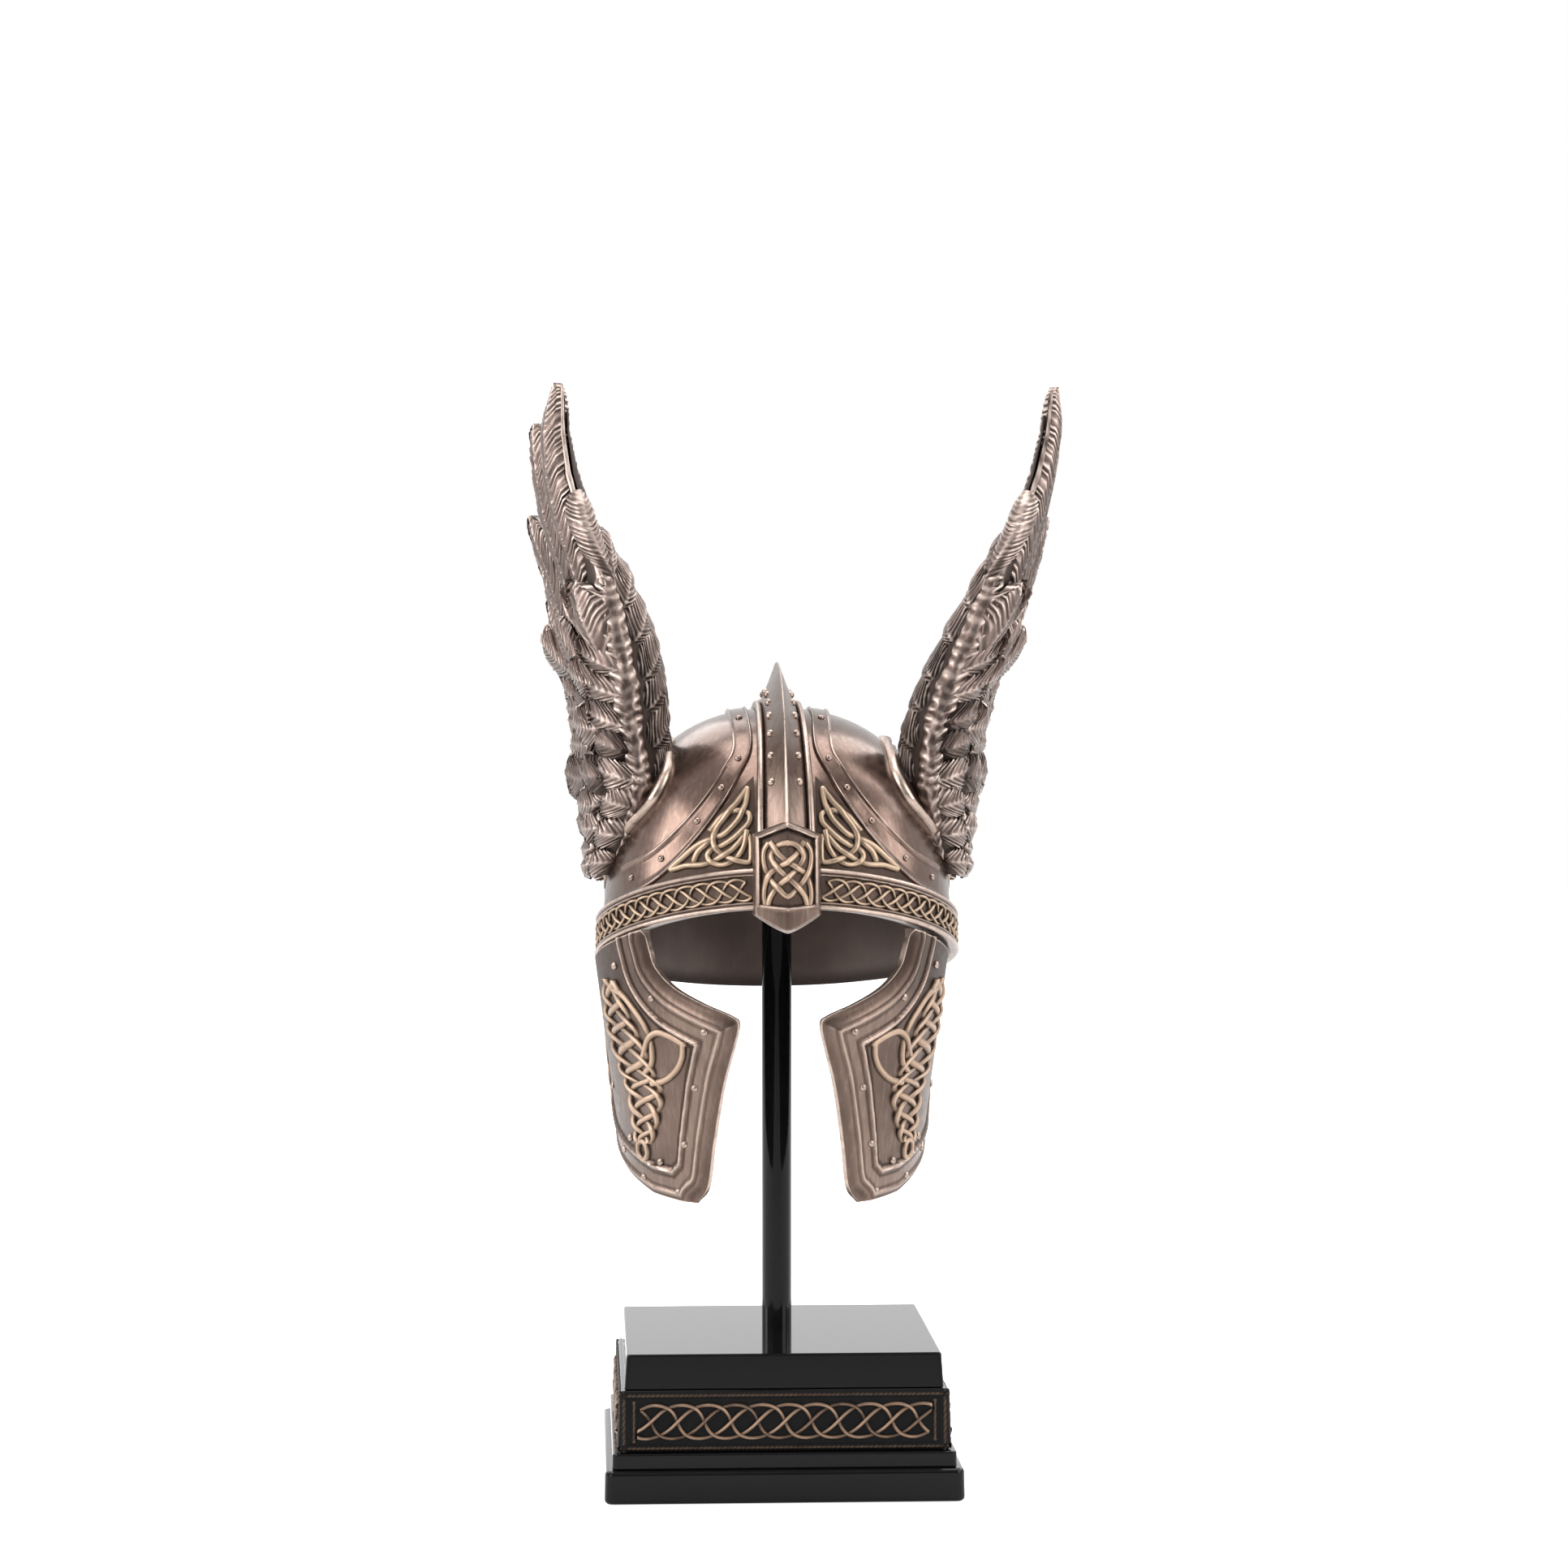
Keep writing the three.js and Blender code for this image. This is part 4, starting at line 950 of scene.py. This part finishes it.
def feather(bm, name, side, face, base, tip, width, lift, end, seed, puff=1.0, painted_shade=0.0, pitch=1.75):
    """One feather on a face of the wing, or round its front for face 0: a shaft and a barbed vane."""
    base, tip = Vector(base), Vector(tip)
    run = tip - base
    length = run.length
    aside = Vector((-run.y, run.x)).normalized()
    sweep = 0.4 + 0.65 * puff

    def along(u, c):
        reach = u
        for _ in range(4):
            reach = min(u + sweep * abs(c) ** 1.4 * width / 2 * vane(reach, end) / length, 1)
        return reach

    def barb(u, c):
        hand = 1 if c > 0 else -1
        far = u * length
        stray = 0.3 * math.sin(far * 0.41 + seed + hand) + 0.17 * math.sin(far * 0.97 + seed * 2 + hand)
        depth = 0.7 + 0.3 * math.sin(far * 0.63 + seed * 5 + hand * 2)
        depth += 0.2 * math.sin(far * 1.7 + c * 2.5 + seed)
        wave = depth * math.sin(2 * math.pi * (far / pitch + stray) + seed * 3 + hand)
        half = width / 2 * vane(along(u, c), end)
        shaft = math.exp(-(c * half / 0.42) ** 2)
        return wave * (1 - shaft), shaft

    def spot(u, w):
        u = lerp(-0.25, 1, u)
        c = w * 2 - 1
        reach = max(along(u, c), 0)
        half = width / 2 * vane(reach, end)
        wave, shaft = barb(u, c)
        ragged = 1 + 0.05 * wave + 0.05 * math.sin(u * length * 0.7 + seed * 9 + c)
        p = base + run * reach + aside * (c * half * ragged + 0.05 * length * math.sin(reach * math.pi))
        p.x = clamp(p.x, WING["low"], WING["high"])
        out = smooth(0, 0.25, reach)
        rise = lift * smooth(0, 0.7, reach) + out * (puff * (1 - c * c) + 0.4 * shaft + 0.2 * wave)
        rise = rise - 1.6 * (1 - out) - 1.1 * smooth(0.84, 1.0, abs(c))
        rise -= 0.9 * puff * smooth(0.86, 1.0, reach)
        if not face:
            return nose_point(name, side, p.x, p.y, rise)
        seat = wing_bulge(name, p.x, p.y / max(wing_chord(name, p.x), 1), face)
        return wing_point(name, side, p.x, p.y, seat + face * rise)

    # Painted shading: painted_shade, painted shade in the barb grooves and at the tucked-in base, painted
    # highlights on the shaft and the barb crests, stronger near the rim.
    def painted_shading(u, w):
        u = lerp(-0.25, 1, u)
        c = w * 2 - 1
        reach = along(u, c)
        wave, shaft = barb(u, c)
        rim = smooth(0.8, 0.95, reach) + smooth(0.6, 0.85, abs(c)) * smooth(0.3, 0.6, reach)
        return (painted_shade + 0.95 * max(0.0, -wave - 0.1) + 0.9 * (1 - smooth(0.05, 0.45, reach)) - 0.3 * shaft
                - (0.08 + 0.25 * clamp(rim)) * max(0.0, wave))

    sheet(bm, max(int(length * 3.4), 24), max(int(width * 0.45) * 2, 10), spot, painted_shading)


# Long outer feathers, the lowest layer first: base z and w, tip z and w, width, lift, bluntness
OUTER_FEATHERS = [
    (200, 26, 236, 41, 12, 0.1, 2.4), (207, 25, 247, 38.5, 13, 0.2, 2.2), (205, 23, 258, 34, 19, 0.4, 1.8),
    (212, 16, 283, 15, 16, 0.8, 1.7), (222, 8, 293.6, 2.5, 13, 1.3, 1.5),
    (209, 5, 229, 33, 13, 2.4, 2.2), (214, 3, 239, 5.5, 13, 3.2, 3.0), (223, 12, 236, 15, 7, 3.2, 3.0),
]
# Small round feathers of the shoulder in the same terms, the lowest layer first
SHELLS = [
    (206, 23, 213, 40, 12, 0.4), (199, 21, 203, 38, 11.5, 0.4), (192, 20, 196, 37.5, 11, 0.4),
    (178, 13, 180.5, 33, 10.5, 0.4), (171, 10, 172.5, 26, 9.5, 0.4), (165, 6, 165, 18, 8.5, 0.3),
    (213, 22, 225.5, 48, 14, 1.2), (207, 16, 205.5, 37, 12, 1.2), (196, 14, 197, 35, 11, 1.3),
    (187, 16, 188.5, 40.5, 14, 1.3), (176.5, 12, 175.5, 31, 10, 1.2), (180, 9, 181, 28, 11, 2.0),
    (168.5, 6, 168, 22, 8.5, 1.2), (211, 4, 217, 24, 11, 2.8), (200, 5, 203, 25, 12, 2.8),
    (187, 4, 190, 22, 11, 2.8), (174, 4, 174.5, 19, 9, 2.2), (164.5, 3, 163.5, 14, 7.5, 1.4),
]
# Backs of the first five long feathers, then the rows below them, all lying flat
INNER_FEATHERS = [(*row[:5], 0.1, row[6]) for row in OUTER_FEATHERS[:5]] + [(*row, 0.5, 3.0) for row in (
    (206, 23, 225.5, 48, 13), (199, 21, 213, 40, 12), (192, 20, 203, 38, 11.5), (186, 18, 193, 37.5, 11),
    (180, 15, 183, 33, 10.5), (174, 12, 176, 30, 10), (168, 9, 169, 25, 9.5), (163.5, 5, 163.5, 17, 8),
)]
# Feathers of the inner face by column: low and high base, count, base w, tip rise and run, width, lift
INNER_ROWS = [
    (174, 236, 6, 9, 13, 22, 15, 0.3), (177, 243, 7, 3, 10, 17, 14, 0.8), (180, 236, 6, 0.4, 8, 10, 10, 1.2),
]
# Small feathers round the front of a wing: base z and q, tip z and q, width, lift
NOSE_SHELLS = [
    (165, 0.5, 165, 11, 8, 1.3), (172, 1, 173.5, 13, 9, 1.6), (179, 1.5, 182.5, 12, 9, 1.9),
    (186, 1.5, 190.5, 14, 10, 1.6), (193.5, 2, 198, 12, 9, 2.0), (200, 1.5, 206.5, 14, 10.5, 1.7),
    (208, 1.5, 214, 12.5, 8.5, 2.0), (214, 1, 224, 12, 9, 1.6), (220, 1, 240, 7.5, 8.5, 1.7),
    (227, 3, 237.5, 11, 6, 2.2), (168, -0.5, 180, -18, 12, 0.3), (177, -0.5, 190, -19, 13, 0.5),
    (184, -0.8, 198, -18, 11, 0.3), (193, -0.8, 207, -19, 13, 0.6), (203, -1, 217, -18, 12, 0.4),
    (211, -1, 226, -18, 12, 0.6), (221, -1.2, 236, -15, 11, 0.5), (230, -1.4, 246, -11, 10, 0.6),
    (238, -1.5, 254, -6, 7, 0.4),
]
# Bare bone strip round the front of a wing: height and its two sides round the front
RIDGE_ROWS = [
    (163, -0.6, 2.6), (172, -0.9, 4.0), (185, -1.0, 5.4), (205, -1.2, 6.2), (222, -1.6, 5.8),
    (234, -2.4, 4.6), (244, -3.0, 1.0),
]


def wing_piece(name, side):
    bm = bmesh.new()
    rows = WING_ROWS[name]
    top = rows[-1][0]
    for face in (1, -1):
        def core(u, w):
            z = lerp(WING["root"], top - 8, u)
            share = lerp(0.9, 0.66, smooth(212, 248, z)) * w ** 1.6
            return wing_point(name, side, z, share * wing_chord(name, z), wing_bulge(name, z, share, face))
        # The core under the feathers is evenly darkened as painted shade.
        sheet(bm, 60, 16, core, lambda u, w: 0.85)
    # Feathers facing in carry painted shade; on the inner rows and the inner nose shells it fades out
    # upwards.
    for face, table in ((1, OUTER_FEATHERS), (-1, INNER_FEATHERS)):
        for i, (bz, bw, tz, tw, width, lift, end) in enumerate(table):
            feather(bm, name, side, face, (bz, bw), (min(tz, top), tw), width, lift, end, i * 1.3,
                    painted_shade=0.0 if face > 0 else 0.3, puff=1.0 if face > 0 else 0.4, pitch=2.1)
    for i, (bz, bw, tz, tw, width, lift) in enumerate(SHELLS):
        feather(bm, name, side, 1, (bz, bw), (tz, tw), width, lift, 3.0, i * 1.7, puff=1.9, pitch=1.7)
    for column, (low, high, count, bw, rz, rw, width, lift) in enumerate(INNER_ROWS):
        for i in range(count):
            z = lerp(low, high, i / (count - 1)) + 1.6 * math.sin(i * 4.7 + column * 2)
            slim = lerp(1, 0.5, smooth(215, 260, z))
            feather(bm, name, side, -1, (z, bw * slim), (z + rz, (bw + rw) * slim), width * slim, lift * slim,
                    3.0, i * 2.1 + column, pitch=1.9, painted_shade=lerp(0.45, 0.1, smooth(205, 235, z)))
    for i, (bz, bq, tz, tq, width, lift) in enumerate(NOSE_SHELLS):
        feather(bm, name, side, 0, (bz, bq), (tz, tq), width, lift, 3.0, i * 2.3, puff=1.3, pitch=1.4,
                painted_shade=0.0 if bq > 0 else lerp(0.4, 0.1, smooth(205, 235, bz)))
    feather(bm, name, side, 0, (234, -3.0), (264, -0.2), 5.8, 1.2, 2.6, 0.7, pitch=1.4)

    def ridge(u, w):
        z = lerp(*WING["ridge"], u)
        c = w * 2 - 1
        lump = 0.25 * math.sin(z * 0.31 + c) + 0.22 * math.sin(z * 0.73 + c * 3) * math.sin(z * 0.17 - c * 4)
        lump += 0.28 * math.sin(z * 2.1 - abs(c) * 4 + math.sin(z * 0.4)) * smooth(0.1, 0.5, abs(c + 0.2))
        rise = (1.6 + lump) * (1 - c ** 4) - 0.5 - 1.6 * smooth(0.94, 1, u) - 1.4 * smooth(0.1, 0, u)
        edge = 0.45 * math.sin(z * 0.47) * math.sin(z * 0.19 + 1) * abs(c)
        spots = []
        for step in (-4, 0, 0, 4):
            q = lerp(between(RIDGE_ROWS, z + step, 1), between(RIDGE_ROWS, z + step, 2), w)
            spots.append(nose_point(name, side, z + step, q + edge * c, rise + 0.35))
        return (spots[0] + spots[1] + spots[2] + spots[3]) / 4

    # Painted shading on the bone strip: a light painted highlight overall and on the barb crests, painted
    # shade in the pits, in the barb grooves and along both sides.
    def ridge_painted_shading(u, w):
        z = lerp(*WING["ridge"], u)
        pits = max(0.0, math.sin(z * 0.61 + w * 9) * math.sin(z * 0.27 - w * 11) - 0.4)
        barb = math.sin(z * 2.1 - abs(w * 2 - 1) * 4 + math.sin(z * 0.4))
        groove_shade = 0.3 * max(0.0, -barb) + 0.5 * smooth(0.75, 1, abs(w * 2 - 1))
        return -0.15 + 1.2 * pits - 0.35 * max(0.0, barb) + groove_shade

    sheet(bm, 300, 16, ridge, ridge_painted_shading)

    def edge(u, w):
        z = lerp(WING["edge"], top - 1.2, u)
        turn = w * 2 * math.pi
        size = lerp(1.2, 0.4, u) * (1 + 0.12 * math.sin(z * 0.7) * math.sin(z * 0.23))
        return wing_point(name, side, z, 0.5 - size * math.cos(turn), 0.9 + size * math.sin(turn))

    # A painted highlight along the leading edge, uneven along its length.
    sheet(bm, 110, 12, edge, lambda u, w: -0.3 + 0.3 * math.sin(u * 41) * math.sin(u * 23 + w * 6))
    finish_piece(bm, "wing_" + name, FEATHER_BRONZE, "wing_" + name, merge=0.002)


# Interlace panels
def panel_ground(bm, corners, place, lift):
    a, b, c = (Vector(p) for p in corners)
    # The ground behind the strands is evenly darkened as painted shade.
    sheet(bm, 24, 24, lambda u, w: place(*(lerp(lerp(a, b, u), c, w)), lift), lambda u, w: 0.8)


# Brow interlace, from the plaque to the back
def brow_interlace(name, side):
    bm = bmesh.new()
    mean = (BOWL["half_width"] + BOWL["half_depth"]) / 2

    def place(x, y, lift):
        return band_point(side * (BAND["start"] + x) / mean, BAND["middle"] + y, BAND["floor"] + 0.05 + lift)

    plait(bm, BAND["run"], BAND["wave"], 2.75, 0.85, 0.75, place, lean=0.45, arch=0.28)
    finish_piece(bm, "brow_interlace_" + name, GILT, "brow_knot_" + name)


# Corner panels beside the comb: a pointed closed loop, an open loop and a short tail
CORNER_LOOP = [
    (9.6, 184.5), (10.1, 180.8), (11.5, 177.7), (13.6, 175.1), (16.0, 173.0), (18.9, 172.0), (22.5, 170.1),
    (26.0, 167.0), (29.0, 163.9), (25.4, 164.9), (21.3, 165.3), (17.5, 166.8), (14.5, 168.6), (12.1, 170.9),
    (10.1, 173.3), (9.1, 171.7), (8.9, 169.1), (9.2, 166.4), (11.5, 166.2), (15.1, 167.4), (17.5, 169.1),
    (18.3, 171.5), (17.5, 174.6), (15.4, 177.4), (12.7, 180.6), (10.7, 183.2),
]
CORNER_OPEN = [
    (19.1, 173.7), (17.8, 175.6), (16.0, 177.7), (13.6, 179.0), (11.0, 179.1), (9.2, 178.1), (9.4, 176.1),
    (11.2, 174.1), (13.3, 172.2), (16.0, 170.4), (18.6, 169.4), (19.8, 167.7), (18.9, 166.0), (16.6, 165.3),
    (14.2, 166.0), (12.1, 167.8), (10.6, 170.4), (9.8, 174.1),
]
CORNER_TAIL = [(19.2, 171.6), (20.7, 170.1), (22.2, 168.6), (23.2, 166.5), (23.5, 164.9)]


def corner_panel(name, side):
    def place(x, z, lift):
        return front_point(side * x, z, CORNER["seat"] + lift)

    bm = bmesh.new()
    panel_ground(bm, CORNER["corners"], place, 0.05)
    finish_piece(bm, "corner_ground_" + name, BRONZE, None)
    bm = bmesh.new()
    loops = [through(CORNER_LOOP, 420), through(CORNER_OPEN, 300, False), through(CORNER_TAIL, 60, False)]
    woven(bm, loops, *CORNER["strand"], place)
    finish_piece(bm, "corner_interlace_" + name, GILT, "corner_knot_" + name)


# Cheek interlace from the top down: middle as degrees and height, then half width in degrees
CHEEK_AXIS = [
    (68.0, 134.0, 4.5), (66.5, 126.2, 8.0), (63.0, 119.2, 10.5), (57.5, 111.2, 10.0), (53.5, 105.2, 9.4),
    (54.6, 97.6, 7.2), (56.6, 91.4, 4.6),
]
CHEEK_ARCH = [(d * DEGREE, z) for d, z in (
    (52.0, 114.0), (48.2, 118.8), (44.0, 121.2), (39.0, 120.8), (33.5, 118.9), (33.2, 118.2), (33.8, 115.2),
    (36.0, 112.2), (39.6, 109.8), (43.5, 108.4), (48.4, 107.6))]
CHEEK_BOW = [(d * DEGREE, z) for d, z in (
    (66.0, 131.6), (60.0, 130.4), (54.0, 127.0), (48.8, 122.6), (46.6, 117.6), (47.4, 113.0), (51.6, 110.0))]
EIGHTHS = [i * math.pi / 4 for i in range(8)]
CHEEK_RING = [((57.8 + 3.1 * math.cos(a)) * DEGREE, 89.3 + 2.5 * math.sin(a)) for a in EIGHTHS]


def cheek_interlace(name, side):
    """A plait that narrows downwards, with a pointed arch in front."""
    axis = [Vector(p) for p in CHEEK_AXIS]
    run = CHEEK["run"]

    def place(degrees, z, lift):
        return guard_point(side, degrees, z, CHEEK["seat"] + lift)

    def along(x, y, lift):
        middle = curve_through(axis, x / run)
        return place(middle.x + y / DEGREE, middle.y, lift)

    def half(t):
        return curve_through(axis, t).z * DEGREE

    bm = bmesh.new()
    plait(bm, run, run / CHEEK["waves"], half, *CHEEK["strand"], along, arch=0.2)
    extra = [through(CHEEK_ARCH, 110, False), through(CHEEK_BOW, 80, False), through(CHEEK_RING, 80)]
    woven(bm, extra, *CHEEK["strand"], lambda x, z, lift: place(x / DEGREE, z, lift))
    finish_piece(bm, "cheek_interlace_" + name, TAN_GILT, "cheek_knot_" + name)


# Plaque interlace: crossing strands with pointed ends inside two crescents
PLAQUE_BOW = [
    (5.3, 154.6), (4.6, 157.4), (3.1, 159.7), (1.2, 161.6), (-0.9, 163.3), (-2.8, 165.2), (-4.2, 167.6),
    (-3.4, 169.9), (-1.5, 171.2),
]
PLAQUE_DIAGONAL = [
    (-4.5, 171.7), (-2.4, 168.6), (0, 166.6), (2.5, 165.1), (4.8, 163.3), (5.9, 160.6), (6.2, 157.6),
    (5.6, 154.4),
]
PLAQUE_CRESCENT = [
    (-4.9, 171.4), (-6.1, 169.4), (-6.3, 167), (-5.7, 164.4), (-4.3, 161.9), (-2.3, 159.6), (0, 157.8),
]


def mirrored(points):
    return [(-x, z) for x, z in points]


def plaque_interlace():
    def place(x, z, lift):
        return plaque_point(x / PLAQUE["half"], z, PLAQUE["floor"] + lift)

    bm = bmesh.new()
    strands = [
        through(PLAQUE_BOW + mirrored(PLAQUE_BOW[::-1]), 260, False),
        through(PLAQUE_DIAGONAL, 130, False),
        through(mirrored(PLAQUE_DIAGONAL), 130, False),
        through(PLAQUE_CRESCENT + mirrored(PLAQUE_CRESCENT[-2::-1]), 240, False),
    ]
    woven(bm, strands, *PLAQUE["strand"], place)
    finish_piece(bm, "plaque_interlace", TAN_GILT, "plaque_knot")


# Pale floor
def floor_material():
    material = bpy.data.materials.new("white floor")
    material.use_nodes = True
    tree = material.node_tree
    pale = tree.nodes["Principled BSDF"]
    fill(pale, {"Base Color": (0.78, 0.78, 0.78, 1), "Emission Color": (1, 1, 1, 1)})
    fill(pale, {"Roughness": 0.8, "Specular IOR Level": 0.2})
    direct = tree.nodes.new("ShaderNodeLightPath").outputs["Is Camera Ray"]
    tree.links.new(math_node(tree, "MULTIPLY", direct, 0.85), pale.inputs["Emission Strength"])
    return material


def floor_stage():
    bm = bmesh.new()
    bmesh.ops.create_grid(bm, x_segments=1, y_segments=1, size=3)
    mesh = bpy.data.meshes.new("floor")
    bm.to_mesh(mesh)
    bm.free()
    floor = placed("floor", mesh)
    floor.location = (0, 0, -0.0002)
    mesh.materials.append(floor_material())


# Pale surroundings, darker towards the front
def studio_world():
    world = bpy.data.worlds.new("studio")
    world.use_nodes = True
    sky = world.node_tree
    backdrop = sky.nodes["Background"]
    backdrop.inputs["Color"].default_value = (1, 1, 1, 1)
    facing = sky.nodes.new("ShaderNodeSeparateXYZ")
    sky.links.new(sky.nodes.new("ShaderNodeTexCoord").outputs["Generated"], facing.inputs[0])
    behind = ramp(sky, facing.outputs["Y"], -0.6, 0.25, 0.12, 1.0)
    above = ramp(sky, facing.outputs["Z"], 0.2, 0.9, 0.0, 0.7)
    seen = sky.nodes.new("ShaderNodeLightPath").outputs["Is Camera Ray"]
    lit = math_node(sky, "MAXIMUM", behind, above)
    sky.links.new(math_node(sky, "MAXIMUM", lit, seen), backdrop.inputs["Strength"])
    bpy.context.scene.world = world


# Soft lights: place, height aimed at, width and height, power
LIGHTS = {
    "left softbox": ((-0.9, -0.7, 0.7), 0.17, (0.7, 0.9), 11),
    "right softbox": ((0.9, -0.6, 0.6), 0.17, (0.6, 0.9), 8),
    "left side light": ((-0.95, 0.02, 0.45), 0.18, (0.4, 0.6), 5),
    "right side light": ((0.95, 0.02, 0.45), 0.18, (0.3, 0.5), 2),
    "top softbox": ((0, 0.1, 1.2), 0.15, (0.9, 0.9), 11),
    "left rim light": ((-0.45, 0.95, 0.95), 0.2, (0.7, 0.6), 3),
    "right rim light": ((0.75, 0.6, 0.95), 0.2, (0.8, 0.7), 6),
}


def soft_light(name, spot, aim, size, power):
    data = bpy.data.lights.new(name, "AREA")
    data.shape = "RECTANGLE"
    data.size, data.size_y = size
    data.energy = power
    lamp = placed(name, data)
    lamp.location = spot
    lamp.rotation_euler = (Vector((0, 0, aim)) - Vector(spot)).to_track_quat("-Z", "Y").to_euler()


# Camera at the photo's angle
CAMERA = {
    "yaw": 2.9, "pitch": 1.42, "lens": 91.87, "sensor": 36, "near": 0.05, "spot": (-0.0525, -1.0752, 0.2117),
}


def photo_camera():
    data = bpy.data.cameras.new("photo camera")
    data.sensor_width = CAMERA["sensor"]
    data.lens = CAMERA["lens"]
    data.clip_start = CAMERA["near"]
    camera = placed("photo camera", data)
    camera.location = CAMERA["spot"]
    yaw, pitch = math.radians(CAMERA["yaw"]), math.radians(CAMERA["pitch"])
    camera.rotation_euler = (math.radians(90) - pitch, 0, -yaw)
    bpy.context.scene.camera = camera
    bpy.context.scene.view_settings.view_transform = "Standard"


# The whole object, from the stand up
for name, tier in TIERS.items():
    tier_piece(name, tier)
rod_piece()
for turn in range(4):
    frieze_face(turn)
bowl_pieces()
band_piece()
comb_piece()
plaque_piece()
for name, side in SIDES:
    hem_piece(name, side)
    plate_piece(name, side)
    guard_piece(name, side)
    wing_piece(name, side)
    brow_interlace(name, side)
    corner_panel(name, side)
    cheek_interlace(name, side)
plaque_interlace()

# The studio round it
floor_stage()
studio_world()
for name, (spot, aim, size, power) in LIGHTS.items():
    soft_light(name, spot, aim, size, power)
photo_camera()
